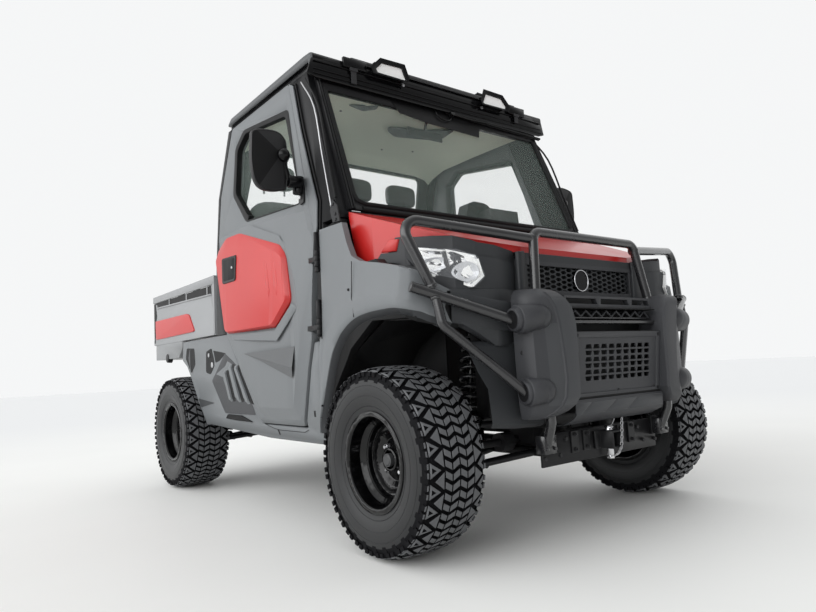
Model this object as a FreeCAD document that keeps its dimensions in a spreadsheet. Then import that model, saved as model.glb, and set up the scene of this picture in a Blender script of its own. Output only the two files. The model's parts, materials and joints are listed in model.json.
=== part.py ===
"""Two-door side-by-side utility vehicle with a closed cab, a brush guard and a tipping cargo bed.

Frame: +Z up, the front faces -Y, +X is the vehicle's left. The origin is on the ground under the middle of
the overall length. Lengths along the vehicle are stations: millimetres behind the front axle.
"""

import FreeCAD, Part
import Sketcher
import math
import os
import re

V = FreeCAD.Vector
doc = FreeCAD.newDocument("UtilityVehicle")

# ---------------------------------------------------------------- driving dimensions
DIMENSIONS = [
    # alias, millimetres, meaning
    ("wheelbase", 2070, "front axle to rear axle"),
    ("front_overhang", 461, "front axle to the face of the brush guard"),
    ("rear_overhang", 583, "rear axle to the tailgate"),
    ("body_half_width", 768, "centre to the door skin at its widest"),
    ("wheel_half_width", 815, "centre to the outer sidewall of a tyre"),
    ("tyre_diameter", 636, "outside diameter of a tyre"),
    ("tyre_width", 245, "section width of a tyre"),
    ("rim_diameter", 340, "outside diameter of a rim flange"),
    ("bead_diameter", 305, "diameter of the bead seat"),
    ("hub_bore", 40, "bore of the wheel hub"),
    ("kingpin_inset", 175, "outer sidewall to the kingpin axis"),
    ("kingpin_diameter", 20, "steering pin through the ball housings"),
    ("running_gap", 0.3, "gap at pins, hubs and seated pieces"),
    ("panel_gap", 6, "gap round doors, hood and tailgate"),
    ("door_bottom", 407, "lower edge of the door"),
    ("door_thickness", 50, "door, skin to inner trim"),
    ("door_top", 1893, "top edge of the door at its front"),
    ("roof_height", 1992, "top of the roof on the centre line"),
    ("cab_rear_inset", 630, "rear axle to the back of the cab, forwards"),
    ("bed_gap", 92, "cab to cargo bed"),
    ("bed_floor", 850, "underside of the bed floor"),
    ("bed_height", 320, "underside of the bed floor to the top rail"),
    ("bed_half_width", 730, "centre to the bed side"),
    ("bed_wall", 22, "thickness of a bed wall"),
    ("hood_skin", 22, "thickness of the hood"),
    ("guard_tube", 35, "outside diameter of the guard tubes"),
    ("frame_rail", 40, "width of the main frame rails"),
    ("shaft_diameter", 28, "axle shafts"),
    ("trestle_inner", 250, "centre to the inner face of a bed trestle"),
    ("steering_wheel_diameter", 360, "outside diameter of the steering wheel"),
    ("mirror_reach", 192, "door skin to the tip of a mirror"),
]
D = {alias: value for alias, value, _ in DIMENSIONS}

sheet = doc.addObject("Spreadsheet::Sheet", "Dims")
for row, (alias, value, meaning) in enumerate(DIMENSIONS, start=1):
    sheet.set(f"A{row}", str(value))
    sheet.setAlias(f"A{row}", alias)
    sheet.set(f"B{row}", meaning)
doc.recompute()

# Places along the vehicle as expressions of the sheet.
FRONT_AXLE = "((front_overhang - wheelbase - rear_overhang) / 2)"
REAR_AXLE = f"({FRONT_AXLE} + wheelbase)"
CAB_REAR = "(wheelbase - cab_rear_inset)"
BED_FRONT = "(wheelbase - cab_rear_inset + bed_gap)"
AXLE_HEIGHT = "(tyre_diameter / 2)"

front_axle_y = (D["front_overhang"] - D["wheelbase"] - D["rear_overhang"]) / 2
cab_rear = D["wheelbase"] - D["cab_rear_inset"]
axle_height = D["tyre_diameter"] / 2
kingpin_x = D["wheel_half_width"] - D["kingpin_inset"]

ALIASES = re.compile(r"\b(" + "|".join(sorted(D, key=len, reverse=True)) + r")\b")
nodes = {}


def at(station):
    """The Y expression of a station."""
    return f"{FRONT_AXLE} + ({station})"


def bind(obj, prop, expression):
    """Binds a property to an expression written with the sheet's aliases."""
    obj.setExpression(prop, ALIASES.sub(r"Dims.\1", str(expression)))


def place(obj, x=None, y=None, z=None):
    """Binds the object's position."""
    for axis, expression in (("x", x), ("y", y), ("z", z)):
        if expression is not None:
            bind(obj, f"Placement.Base.{axis}", expression)
    return obj


# ---------------------------------------------------------------- modelling helpers
PLANES = {
    # plane: rotation of the sketch, extrusion direction
    "side": (FreeCAD.Rotation(V(1, 1, 1), 120), V(1, 0, 0)),
    "plan": (FreeCAD.Rotation(), V(0, 0, 1)),
    "front": (FreeCAD.Rotation(V(1, 0, 0), 90), V(0, 1, 0)),
}


def outline(name, plane, points, convex=0, concave=0):
    """A closed sketch through points, each a pair of expressions; its corners are rounded by the two radii.
    A side outline's points are (y, z), a plan outline's (x, y) and a front outline's (x, z)."""
    sketch = doc.addObject("Sketcher::SketchObject", name + "_sketch")
    sketch.Placement = FreeCAD.Placement(V(), PLANES[plane][0])
    count = len(points)
    start = [
        V(math.cos(2 * math.pi * i / count), math.sin(2 * math.pi * i / count), 0) * 100 for i in range(count)
    ]
    for i in range(count):
        sketch.addGeometry(Part.LineSegment(start[i], start[(i + 1) % count]), False)
    for i in range(count):
        sketch.addConstraint(Sketcher.Constraint("Coincident", i, 2, (i + 1) % count, 1))
    for i, (u, v) in enumerate(points):
        for kind, expression, value in (("DistanceX", u, start[i].x), ("DistanceY", v, start[i].y)):
            index = sketch.addConstraint(Sketcher.Constraint(kind, -1, 1, i, 1, value))
            bind(sketch, f"Constraints[{index}]", expression)
    wire = sketch
    steps = ([-convex, convex] if convex else []) + ([concave, -concave] if concave else [])
    for number, step in enumerate(steps):
        moved = doc.addObject("Part::Offset2D", f"{name}_round{number}")
        moved.Source = wire
        moved.Join = 2 if number % 2 == 0 else 0
        moved.Value = step
        wire = moved
    return wire


def grown(name, wire, value):
    """An outline offset outwards by an expression."""
    moved = doc.addObject("Part::Offset2D", name)
    moved.Source = wire
    moved.Join = 2
    bind(moved, "Value", value)
    return moved


def extrude(name, plane, wire, start, stop):
    """A solid between two expressions along the plane's normal."""
    solid = doc.addObject("Part::Extrusion", name)
    solid.Base = wire
    solid.DirMode = "Custom"
    solid.Dir = PLANES[plane][1]
    solid.Solid = True
    bind(solid, "LengthFwd", f"({stop}) - ({start})")
    axis = {"side": "x", "plan": "z", "front": "y"}[plane]
    return place(solid, **{axis: start})


def prism(name, plane, points, start, stop, convex=0, concave=0):
    """A solid whose section is the outline through points."""
    return extrude(name, plane, outline(name, plane, points, convex, concave), start, stop)


def box(name, x, y, z):
    """A box from three pairs of expressions (low, high)."""
    solid = doc.addObject("Part::Box", name)
    for prop, (low, high) in (("Length", x), ("Width", y), ("Height", z)):
        bind(solid, prop, f"({high}) - ({low})")
    return place(solid, x[0], y[0], z[0])


def cylinder(name, axis, centre, diameter, length):
    """A cylinder along "x", "y" or "z" that starts at centre."""
    solid = doc.addObject("Part::Cylinder", name)
    turn = {"x": FreeCAD.Rotation(V(0, 1, 0), 90), "y": FreeCAD.Rotation(V(1, 0, 0), -90),
            "z": FreeCAD.Rotation()}
    solid.Placement = FreeCAD.Placement(V(), turn[axis])
    bind(solid, "Radius", f"({diameter}) / 2")
    bind(solid, "Height", length)
    return place(solid, *centre)


def fuse(name, *parts):
    joined = doc.addObject("Part::MultiFuse", name)
    joined.Shapes = list(parts)
    return joined


def common(name, *parts):
    shared = doc.addObject("Part::MultiCommon", name)
    shared.Shapes = list(parts)
    return shared


def cut(name, base, *tools):
    """base without the tools, one after another."""
    for number, tool in enumerate(tools):
        left = doc.addObject("Part::Cut", f"{name}{number}")
        left.Base = base
        left.Tool = tool
        base = left
    return base


def mirrored(name, source):
    """The same piece on the other side of the vehicle."""
    copy = doc.addObject("Part::Mirroring", name)
    copy.Source = source
    copy.Normal = V(1, 0, 0)
    return copy


def node(label, obj):
    """Registers a finished piece under its node name."""
    obj.Label = label
    nodes[label] = obj
    return obj


def node_pair(label, left):
    """One node that holds the left piece and its mirror image, which don't touch."""
    both = doc.addObject("Part::Compound", label + "_pair")
    both.Links = [left, mirrored(label + "_right", left)]
    return node(label, both)


def feature(name, shape):
    """A shape made with Part's own functions, for what has no parametric feature."""
    made = doc.addObject("Part::Feature", name)
    made.Shape = shape
    return made


def bent_tube(points, radius, bend):
    """A round bar along straight runs joined by tangent arcs of the bend radius."""
    edges = []
    last = points[0]
    for before, corner, after in zip(points, points[1:], points[2:]):
        inward = (before - corner).normalize()
        outward = (after - corner).normalize()
        half = inward.getAngle(outward) / 2
        reach = bend / math.tan(half)
        start = corner + inward * reach
        stop = corner + outward * reach
        centre = corner + (inward + outward).normalize() * (bend / math.sin(half))
        middle = centre + (corner - centre).normalize() * bend
        edges += [Part.LineSegment(last, start).toShape(), Part.Arc(start, middle, stop).toShape()]
        last = stop
    edges.append(Part.LineSegment(last, points[-1]).toShape())
    path = Part.Wire(edges)
    section = Part.Wire([Part.Circle(points[0], points[1] - points[0], radius).toShape()])
    return path.makePipeShell([section], True, False)


def rod(start, stop, radius):
    """A straight round bar between two points."""
    return Part.makeCylinder(radius, (stop - start).Length, start, stop - start)


def merged(shapes):
    """Overlapping shapes as one solid."""
    return shapes[0].multiFuse(shapes[1:])


def station(x, behind, z):
    """A point from its station, for shapes made with Part's own functions."""
    return V(x, front_axle_y + behind, z)


# ---------------------------------------------------------------- body sections
# Half section of the cab side: height, inset from the widest point.
SIDE_SECTION = [
    (300, 88), (330, 62), (430, 23), (640, 5), (900, 0), (1200, 6), (1330, 14), (1900, 46), (2000, 52),
]


def side_band(name, outer, inner, start, stop):
    """A slab that follows the side section between two insets, over a range of stations."""
    skin = [(f"body_half_width - {inset} - ({outer})", height) for height, inset in SIDE_SECTION]
    back = [(f"body_half_width - {inset} - ({inner})", height) for height, inset in reversed(SIDE_SECTION)]
    return prism(name, "front", skin + back, at(start), at(stop))


def side_points(table):
    """A side outline from rows of (station, height)."""
    return [(at(behind), height) for behind, height in table]


# ---------------------------------------------------------------- chassis
def build_frame():
    rails = [
        box("lower_rail", (100, "100 + frame_rail"), (at(-325), at("wheelbase + 170")), (268, 298)),
        box("upper_rail", (150, "150 + frame_rail"), (at(-250), at("wheelbase + 400")), (380, 430)),
        box("front_plate", (0, 339), (at(-335), at(-325)), (268, 378)),
        box("front_post", (255, 290), (at(-250), at(-215)), (400, 960)),
        box("front_sill", (0, 290), (at(-250), at(-215)), (395, 430)),
        box("front_header", (0, 290), (at(-250), at(-215)), (940, 965)),
    ]
    for number, behind in enumerate((-250, 180, 600, 1020, CAB_REAR, "wheelbase - 200", "wheelbase + 130")):
        rails.append(box(f"cross_low{number}", (0, 120), (at(behind), at(f"{behind} + 40")), (268, 298)))
        rails.append(box(f"cross_post{number}", (105, 185), (at(behind), at(f"{behind} + 40")), (290, 390)))
        rails.append(box(f"cross_high{number}", (0, 160), (at(behind), at(f"{behind} + 40")), (385, 425)))
    for number, behind in enumerate((440, 860, 1260)):
        rails.append(box(f"outrigger{number}", (160, "645 - running_gap"), (at(behind), at(behind + 40)),
                         (380, 416)))
    # Strut towers over the front and rear lower arms.
    for number, behind in enumerate(("-95", "wheelbase + 25")):
        rails.append(box(f"tower_post{number}", (150, 190), (at(behind), at(f"{behind} + 70")), (420, 790)))
        rails.append(box(f"tower{number}", (150, 400), (at(behind), at(f"{behind} + 70")), (760.3, 790)))
    rails.append(box("hitch_cross", (0, 160), (at("wheelbase + 360"), at("wheelbase + 400")), (385, 425)))
    half = fuse("frame_half", *rails)
    node("chassis_frame", fuse("frame_both", half, mirrored("frame_right", half)))

    # Trestles that carry the bed behind the cab, with the pins it tips on.
    across = ("trestle_inner + 5", "trestle_inner + 45")
    stand = []
    for name, low, high in (("top", "790 + running_gap", 830), ("mid", 580, 620)):
        stand.append(box(f"trestle_{name}", ("trestle_inner", "trestle_inner + 50"),
                         (at(f"{BED_FRONT} + 10"), at("wheelbase + 390")), (low, high)))
    for number, behind in enumerate((f"{BED_FRONT} + 10", "wheelbase - 270", "wheelbase + 130",
                                     "wheelbase + 340")):
        along = (at(behind), at(f"{behind} + 45"))
        stand.append(box(f"trestle_post{number}", across, along, (384, 800)))
        stand.append(box(f"trestle_foot{number}", ("190 + running_gap", across[1]), along, (384, 424)))
    stand.append(box("bed_hinge_arm", ("trestle_inner + 45", "trestle_inner + 72"),
                     (at("wheelbase + 340"), at("wheelbase + 440")), (782, 818)))
    stand = cut("trestle_cut", fuse("trestle_solid", *stand), box(
        "bed_lug_room", ("trestle_inner + 20", "trestle_inner + 56 - running_gap"),
        (at("wheelbase + 391"), at("wheelbase + 460")), (760, 840)))
    pin = cylinder("bed_hinge_pin", "x", ("trestle_inner + 20", at("wheelbase + 420"), 800), 16, 50)
    node_pair("bed_trestles", fuse("trestle_pinned", stand, pin))

    node("skid_plate", prism("skid", "side", [
        (at(-323), 300), (at(-300), "268 - running_gap - 6"), (at(1500), "268 - running_gap - 6"),
        (at(1500), "268 - running_gap"), (at(-298), "268 - running_gap"), (at(-317), 300)], -95, 95))
    node("engine", box("engine_block", (-145, 145), (at(f"{CAB_REAR} + 60"), at("wheelbase - 240")),
                       (300, 760)))
    node("radiator", box("radiator_core", (-254, 254), (at(-246), at(-196)), ("430 + running_gap", 939)))


def build_suspension():
    """Double wishbones, struts and shafts. The rear hub carriers belong to them; the front ones steer."""
    ball_low = axle_height - 78
    ball_high = axle_height + 84
    housing = 30
    gap = D["running_gap"]
    pin = D["kingpin_diameter"] / 2
    struts = []
    for axle, behind, strut_at in (("front", 0, -60), ("rear", D["wheelbase"], 60)):
        arms = []
        for end in (-1, 1):
            for inboard, height, ball, radius in ((140, 283, ball_low, 14), (190, 405, ball_high, 12)):
                arm = rod(station(inboard - 30, behind + end * 115, height),
                          station(kingpin_x - 10, behind + end * 6, ball), radius)
                arms.append(arm.cut(Part.makeBox(inboard + gap, 600, 600, station(0, behind - 300, 0))))
        for ball in (ball_low, ball_high):
            arms.append(Part.makeCylinder(19, housing, station(kingpin_x, behind, ball - housing / 2)))
        arms.append(rod(station(340, behind - 66, ball_low + 15), station(340, behind + 66, ball_low + 15),
                        12))
        if axle == "rear":
            arms.append(Part.makeCylinder(24, ball_high - ball_low, station(kingpin_x, behind, ball_low)))
            arms.append(rod(station(kingpin_x, behind, axle_height),
                            station(D["wheel_half_width"] - 86, behind, axle_height),
                            D["hub_bore"] / 2 - gap))
        left = merged(arms)
        if axle == "front":
            for ball in (ball_low, ball_high):
                left = left.cut(Part.makeCylinder(pin + gap, 2 * housing,
                                                  station(kingpin_x, behind, ball - housing)))
        foot = station(430, behind + strut_at, ball_low + 26)
        head = station(365, behind + strut_at, 760)
        line = (head - foot).normalize()
        left = left.fuse(rod(station(420, behind, ball_low + 9),
                             station(440, behind + strut_at, ball_low + 9), 15))
        spring = rod(foot, head, 15).fuse([rod(foot + line * 60, head - line * 40, 46)])
        spring = spring.common(Part.makeBox(400, 400, 2000, station(200, behind - 200, ball_low + 24 + gap)))
        spring = spring.cut(Part.makeBox(400, 400, 200, station(200, behind - 200, 760)))
        struts.append(spring)
        node_pair(f"{axle}_suspension", feature(f"{axle}_arms", left.cut(spring)))
    node_pair("struts", feature("strut_set", Part.Compound(struts)))

    shafts = []
    for behind, boot in ((0, kingpin_x - 62), (D["wheelbase"], kingpin_x - 30)):
        half = 100 - gap
        housing_box = Part.makeBox(2 * half, 130, 100, station(-half, behind - 90, 272))
        shafts.append(housing_box.fuse([
            rod(station(-boot, behind, axle_height), station(boot, behind, axle_height),
                D["shaft_diameter"] / 2),
            rod(station(145, behind, axle_height), station(205, behind, axle_height), 36),
            rod(station(-145, behind, axle_height), station(-205, behind, axle_height), 36)]))
    prop = rod(station(0, 38, 347), station(0, cab_rear + 60 - gap, 347), 18)
    node("drivetrain", feature("drivetrain_set", merged(shafts + [prop])))


build_frame()
build_suspension()


# ---------------------------------------------------------------- cab
def build_tub():
    node("floor_tub", prism("tub", "side", side_points([
        (402, 1000), (402, 430), (905, 430), (905, 740), (1413.7, 740), (1413.7, 748), (897, 748), (897, 438),
        (410, 438), (410, 1000)]), -640, 640))


def windscreen_band(name, ahead, behind, low, high):
    """A side section along the slope of the windscreen between two offsets."""
    lean = 0.40
    foot = 220
    points = [(foot + ahead + (low - 1241) * lean, low), (foot + ahead + (high - 1241) * lean, high),
              (foot + behind + (high - 1241) * lean, high), (foot + behind + (low - 1241) * lean, low)]
    return prism(name, "side", side_points(points), "-(body_half_width - 46)", "body_half_width - 46")


def rear_band(name, outer, inner):
    """A side section along the back of the cab, upright and then sloping forward to the roof."""
    return prism(name, "side", [
        (at(f"{CAB_REAR} - {outer}"), 560), (at(f"{CAB_REAR} - {outer}"), 1560),
        (at(f"{CAB_REAR} - 110 - {outer}"), 1900), (at(f"{CAB_REAR} - 110 - {inner}"), 1900),
        (at(f"{CAB_REAR} - {inner}"), 1560), (at(f"{CAB_REAR} - {inner}"), 560)], -720, 720)


def build_cab():
    glass_corners = [(-667, 1267), (667, 1267), (657, 1810), (-657, 1810)]
    frame_corners = [(-700, 1241), (700, 1241), (676, 1876), (-676, 1876)]
    opening = prism("screen_opening", "front", glass_corners, at(100), at(700), convex=30)
    surround = common("screen_surround", windscreen_band("screen_frame", 0, 24, 1241, 1876),
                      prism("screen_outer", "front", frame_corners, at(100), at(700)))
    surround = cut("screen_ring", surround, opening)
    pillar = common("front_pillar", prism("front_pillar_side", "side", side_points([
        (241, 1210), (241, 1236), (507, 1901), (640, 1901), (388, 1190), (388, 764), (352, 764),
        (352, 1210)]),
        640, 760), side_band("front_pillar_band", 16, 80, 200, 700))
    hinges = []
    for number, height in enumerate((797, 1065)):
        for part, low in enumerate((height - 32, height + 10.3)):
            hinges.append(cylinder(f"hinge_fixed{number}{part}", "z", (774, at(360), low), 22, 21.7))
            hinges.append(box(f"hinge_base{number}{part}", (740, 774), (at(353), at(367)),
                              (low, f"{low} + 21.7")))
        hinges.append(cylinder(f"hinge_pin{number}", "z", (774, at(360), height - 32), 12, 64))
        hinges.append(box(f"hinge_plate{number}", (740, 754), (at(353), at(386)), (height - 40, height + 40)))
    rear_pillar = common("rear_pillar", prism("rear_pillar_side", "side", [
        (at(f"{CAB_REAR} - 145"), 838), (at(f"{CAB_REAR} - 18"), 1331), (at(f"{CAB_REAR} - 28"), 1560),
        (at(f"{CAB_REAR} - 150"), "door_top + 8"), (at(f"{CAB_REAR} - 110"), "door_top + 8"),
        (at(CAB_REAR), 1560),
        (at(CAB_REAR), 838)], 640, 760), side_band("rear_pillar_band", 6, 80, 1200, f"{CAB_REAR} + 20"))
    rear_post = box("rear_post", (645, 698), (at(f"{CAB_REAR} - 50"), at(CAB_REAR)), (420, 860))
    post = box("hinge_post", (645, 700), (at(352), at(388)), (440, 770))
    rail = box("roof_rail", (640, 700), (at(486), at(f"{CAB_REAR} - 110")), ("door_top + 8", "door_top + 34"))
    cross = [box(f"roof_cross{number}", (-690, 690), (at(behind), at(f"{behind} + 40")),
                 ("door_top + 8", "door_top + 34"))
             for number, behind in enumerate((486, 900, f"{CAB_REAR} - 150"))]
    cowl = box("cowl_bar", (-690, 690), (at(352), at(386)), (1150, 1210))
    foot = [box(f"cab_foot{number}", (600, "body_half_width - 62.6"), (at(behind), at(f"{behind} + 36")),
                ("416 + running_gap", 445))
            for number, behind in enumerate((352, f"{CAB_REAR} - 60"))]
    rocker = box("cab_rocker", (645, "body_half_width - door_thickness - 33"), (at(352), at(CAB_REAR)),
                 (390, 426))
    side = fuse("cab_side", pillar, post, rear_pillar, rear_post, rail, rocker, *foot, *hinges)
    node("cab_frame", fuse("cab_frame_all", side, mirrored("cab_side_right", side), surround, cowl, *cross))

    pane = common("screen_pane", windscreen_band("screen_sheet", 9, 14, 1200, 1880), extrude(
        "screen_pane_outline", "front", grown("screen_pane_grow", opening.Base, "-running_gap"), at(100),
        at(700)))
    rear_opening = prism("rear_opening", "front", [(-600, 1400), (600, 1400), (560, 1828), (-560, 1828)],
                         at(f"{CAB_REAR} - 300"), at(f"{CAB_REAR} + 50"), convex=40)
    room = fuse("rear_wall_room", side_band(
        "rear_wall_band", -60, "80 + running_gap", f"{CAB_REAR} - 250", f"{CAB_REAR} + 20"), box(
        "rear_post_room", ("645 - running_gap", 760), (at(f"{CAB_REAR} - 250"), at(f"{CAB_REAR} + 20")),
        (500, "860 + running_gap")))
    node("rear_wall", cut("rear_wall_cut", rear_band("rear_wall_sheet", 26, 4), rear_opening, room,
                          mirrored("rear_wall_room_right", room)))
    rear_pane = common("rear_pane", rear_band("rear_pane_sheet", 18, 13), extrude(
        "rear_pane_outline", "front", grown("rear_pane_grow", rear_opening.Base, "-running_gap"),
        at(f"{CAB_REAR} - 300"), at(f"{CAB_REAR} + 50")))
    glass = doc.addObject("Part::Compound", "cab_glass_pair")
    glass.Links = [pane, rear_pane]
    node("cab_glass", glass)


def build_roof():
    under = "door_top + 34 + running_gap"
    base = prism("roof_base", "side", [
        (at(438), 1935), (at(460), 1884), (at(466), under), (at(f"{CAB_REAR} - 105"), under),
        (at(f"{CAB_REAR} - 157"), 1958), (at(500), 1964), (at(440), 1960)], -724, 724)
    crown = prism("roof_crown", "side", [
        (at(441), 1940), (at(441), "roof_height - 2"), (at(700), "roof_height"),
        (at(1180), "roof_height - 4"),
        (at(1268), 1950)], -522, 522)
    node("roof", fuse("roof_all", base, crown))
    pod = prism("lamp_pod", "side", [
        (at(405), 1932), (at(405), "roof_height + 12"), (at(470), "roof_height + 23"),
        (at(560), "roof_height + 8"),
        (at(560), "roof_height + 0.3"), (at(440.7), "roof_height + 0.3"), (at(440.7), 1966),
        (at(439.4), 1960), (at(436.6), 1932)],
        244, 387)
    node_pair("roof_lamps", pod)


def build_interior():
    dash = prism("dash_body", "side", side_points([
        (414, 1000), (386.3, 1140), (386.3, 1210.3), (330, 1226), (300, 1226), (300, 1256), (430, 1290),
        (520, 1280),
        (590, 1200), (590, 1090), (520, 1000)]), -635, 635)
    hood = prism("cluster_hood", "side", side_points([(420, 1280), (430, 1400), (560, 1390), (575, 1210)]),
                 270, 470)
    axis = V(0, math.cos(math.radians(32)), math.sin(math.radians(32)))
    wheel_centre = station(375, 800, 1235)
    column = rod(wheel_centre - axis * 330, wheel_centre - axis * 42, 26)
    shaft = rod(wheel_centre - axis * 110, wheel_centre - axis * 30, 10)
    room = rod(wheel_centre - axis * 115, wheel_centre - axis * 30, 10 + D["running_gap"])
    node("dashboard", cut("dashboard_all", fuse("dashboard_solid", dash, hood, feature("column", column)),
                          feature("column_bore", room)))
    steer = [shaft, Part.makeTorus(D["steering_wheel_diameter"] / 2 - 15, 15, wheel_centre, axis)]
    steer.append(Part.makeCylinder(52, 34, wheel_centre - axis * 37, axis))
    reach = D["steering_wheel_diameter"] / 2 - 15
    for turn in (0, 180, 270):
        spoke = Part.makeBox(reach, 34, 12, V(0, -17, -18))
        spoke.rotate(V(), V(0, 0, 1), turn)
        turned = FreeCAD.Placement(wheel_centre, FreeCAD.Rotation(V(0, 0, 1), axis))
        spoke.Placement = turned.multiply(spoke.Placement)
        steer.append(spoke)
    node("steering_wheel", feature("steering_wheel_set", merged(steer)))

    cushion = prism("cushion", "side", side_points([
        (930, 748.3), (915, 820), (930, 880), (1250, 868), (1330, 845), (1330, 748.3)]), 8, 632, convex=12)
    node_pair("seat_cushions", cushion)
    back = prism("backrest", "side", side_points([
        (1335, 870), (1262, 900), (1290, 1575), (1310, 1590), (1388, 1590), (1408, 1400), (1408, 748.3),
        (1336, 748.3)]),
        8, 632, convex=12)
    node_pair("seat_backs", back)
    rests = []
    for number, x in enumerate((-470, 40, 395)):
        pad = box(f"headrest_pad{number}", (x - 112, x + 112), (at(1262), at(1330)), (1648, 1752))
        post = [box(f"headrest_post{number}{side}", (x + side * 60 - 7, x + side * 60 + 7),
                    (at(1314), at(1328)),
                    (1590.3, 1660)) for side in (-1, 1)]
        rests.append(fuse(f"headrest{number}", pad, *post))
    group = doc.addObject("Part::Compound", "headrest_set")
    group.Links = rests
    node("headrests", group)


# ---------------------------------------------------------------- front end
def build_front():
    plan = [(0, -292), (345, -292), (470, -318), (560, -300), (640, -262), (640, -224), (560, -264),
            (470, -284),
            (345, -258), (0, -258)]
    half = common("fascia_half", prism("fascia_plan", "plan", [(x, at(y)) for x, y in plan], 600, 1000),
                  prism("fascia_front", "front", [(0, 985), (345, 985), (358, 872), (640, 872), (640, 778),
                                                  (500, 683),
                                                  (0, 683)], at(-400), at(-200)))
    both = fuse("fascia_both", half, mirrored("fascia_right", half))
    window = prism("grille_window", "front", [(-312, 874), (312, 874), (312, 970), (-312, 970)], at(-400),
                   at(-200),
                   convex=14)
    arms = [box(f"fascia_arm{number}", across, (at(-259), at(-250.3)), (720, 760))
            for number, across in enumerate(((-290, -255), (255, 290)))]
    node("front_fascia", fuse("fascia_all", cut("fascia_cut", both, window), *arms))
    pane = common("grille_plate", prism("grille_sheet", "plan", [(x, at(y)) for x, y in (
        (-312, -282), (312, -282), (312, -274), (-312, -274))], 870, 990), extrude(
        "grille_outline", "front", grown("grille_grow", window.Base, "-running_gap"), at(-400), at(-200)))
    badge = cylinder("badge", "y", (0, at(-290), 922), 86, 14)
    slots = [box(f"grille_slot{row}{column}", (column * 60 - 22, column * 60 + 22), (at(-300), at(-260)),
                 (z, z + 14)) for row, z in enumerate((884, 906, 928, 950)) for column in range(-4, 5)]
    node("upper_grille", fuse("upper_grille_all", cut("grille_slotted", pane,
                                                      fuse("grille_slots", *slots)), badge))

    lamp = common("lamp", prism("lamp_plan", "plan", [(x, at(y)) for x, y in (
        (362, -288), (470, -316), (560, -306), (620, -270), (690, -130), (640, -127), (560, -240),
        (362, -262))],
        860, 1040),
        prism("lamp_front", "front", [(362, 900), (366, 872.3), (636, 872.3), (690, 1000), (690, 1034),
                                      (600, 985),
                                      (362, 968)], at(-400), at(-100)))
    node_pair("headlamps", lamp)

    cover_plan = [(262, -345), (262, -425), (275, -470), (385, -470), (480, -375), (480, -345)]
    cover = common("cover", prism("cover_plan", "plan", [(x, at(y)) for x, y in cover_plan], 400, 870,
                                  convex=14),
                   prism("cover_side", "side", [
                       (at(-345), 862), (at(-419), 850), (at("-front_overhang"), 670),
                       (at("-front_overhang"), 480), (at(-406), 428), (at(-345), 407)], 200, 500, convex=10))
    r = D["guard_tube"] / 2
    leg = [station(340, -352.3, 330), station(350, -392, 420), station(350, -392, 620),
           station(336, -352, 860)]
    front = leg + [station(301, -327, 1078), station(-301, -327, 1078)]
    front += [V(-p.x, p.y, p.z) for p in reversed(leg)]
    loop = bent_tube(front, r, 38)
    flat = Part.makeBox(60, 40, 60, station(310, -335.3 - 40, 318))
    hoop_route = [station(306, -328, 1052), station(806, -206, 1104), station(722, -268, 868)]
    lower_route = [station(792, -247.4, 876), station(478, -380, 759), station(345, -372, 748)]
    brace_route = [station(722, -276, 852), station(712, -293, 752), station(455, -395, 523),
                   station(350, -394, 515)]
    side = [bent_tube(hoop_route, r, 45), bent_tube(lower_route, r, 30), bent_tube(brace_route, r * 0.9, 40)]
    flats = [flat, flat.mirror(V(), V(1, 0, 0))]
    guard = merged([loop] + side + [tube.mirror(V(), V(1, 0, 0)) for tube in side] + flats)
    node("brush_guard", feature("brush_guard_set", guard))
    grow = D["running_gap"]
    room = bent_tube(front[:5], r + grow, 38).fuse([
        bent_tube(lower_route, r + grow, 30), bent_tube(brace_route, r * 0.9 + grow, 40)])
    node_pair("guard_covers", cut("cover_clear", cover, feature("cover_room", room)))

    wall = prism("bumper_wall", "side", side_points([
        (-404, 846), (-404, 800), (-440, 736), (-440, 716), (-418, 495), (-420, 428), (-336, 400),
        (-336, 410),
        (-406, 438), (-405, 495), (-427, 716), (-427, 736), (-390, 800), (-390, 846)]),
        "-(262 - running_gap)", "262 - running_gap")
    lower = prism("lower_window", "front", [(-240, 500), (240, 500), (240, 712), (-240, 712)], at(-470),
                  at(-380),
                  convex=8)
    slots = [box(f"bumper_slot{number}", (x - 42, x + 42), (at(-420), at(-380)), (818, 834))
             for number, x in enumerate((-180, -60, 60, 180))]
    ribs = [box(f"chin_rib{number}", (x - 7, x + 7), (at(-432), at(-412)), (430, 490))
            for number, x in enumerate((-120, 0, 120))]
    node("bumper", fuse("bumper_all", cut("bumper_cut", wall, lower, *slots), *ribs))
    plate = common("lower_grille_plate", prism("lower_grille_sheet", "side", side_points([
        (-438, 716), (-416, 495), (-409, 495), (-431, 716)]), -250, 250), extrude(
        "lower_grille_outline", "front", grown("lower_grille_grow", lower.Base, "-running_gap"), at(-470),
        at(-380)))
    slots = [box(f"lower_slot{row}{column}", (column * 54 - 22, column * 54 + 22), (at(-450), at(-390)),
                 (z, z + 22)) for row, z in enumerate(range(522, 700, 36)) for column in range(-4, 5)]
    node("lower_grille", cut("lower_grille_cut", plate, fuse("lower_grille_slots", *slots)))

    receivers = []
    for name, low, high, z in (("front", at(-400), at(-335.3), 300),
                               ("rear", at("wheelbase + 200"), at("wheelbase + 400"), 320.7)):
        tube = box(f"{name}_receiver", (-32, 32), (low, high), (z, z + 64))
        socket = box(f"{name}_socket", (-25.4, 25.4), (f"{low} - 20", f"{high} + 20"), (z + 6.6, z + 57.4))
        flange = box(f"{name}_flange", (-60, 60), (f"{high} - 10", high), (z, z + 64))
        receivers.append(cut(f"{name}_hitch", fuse(f"{name}_tube", tube, flange), socket))
    group = doc.addObject("Part::Compound", "hitch_set")
    group.Links = receivers
    node("hitch_receivers", group)


build_tub()
build_cab()
build_roof()
build_interior()
build_front()


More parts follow.
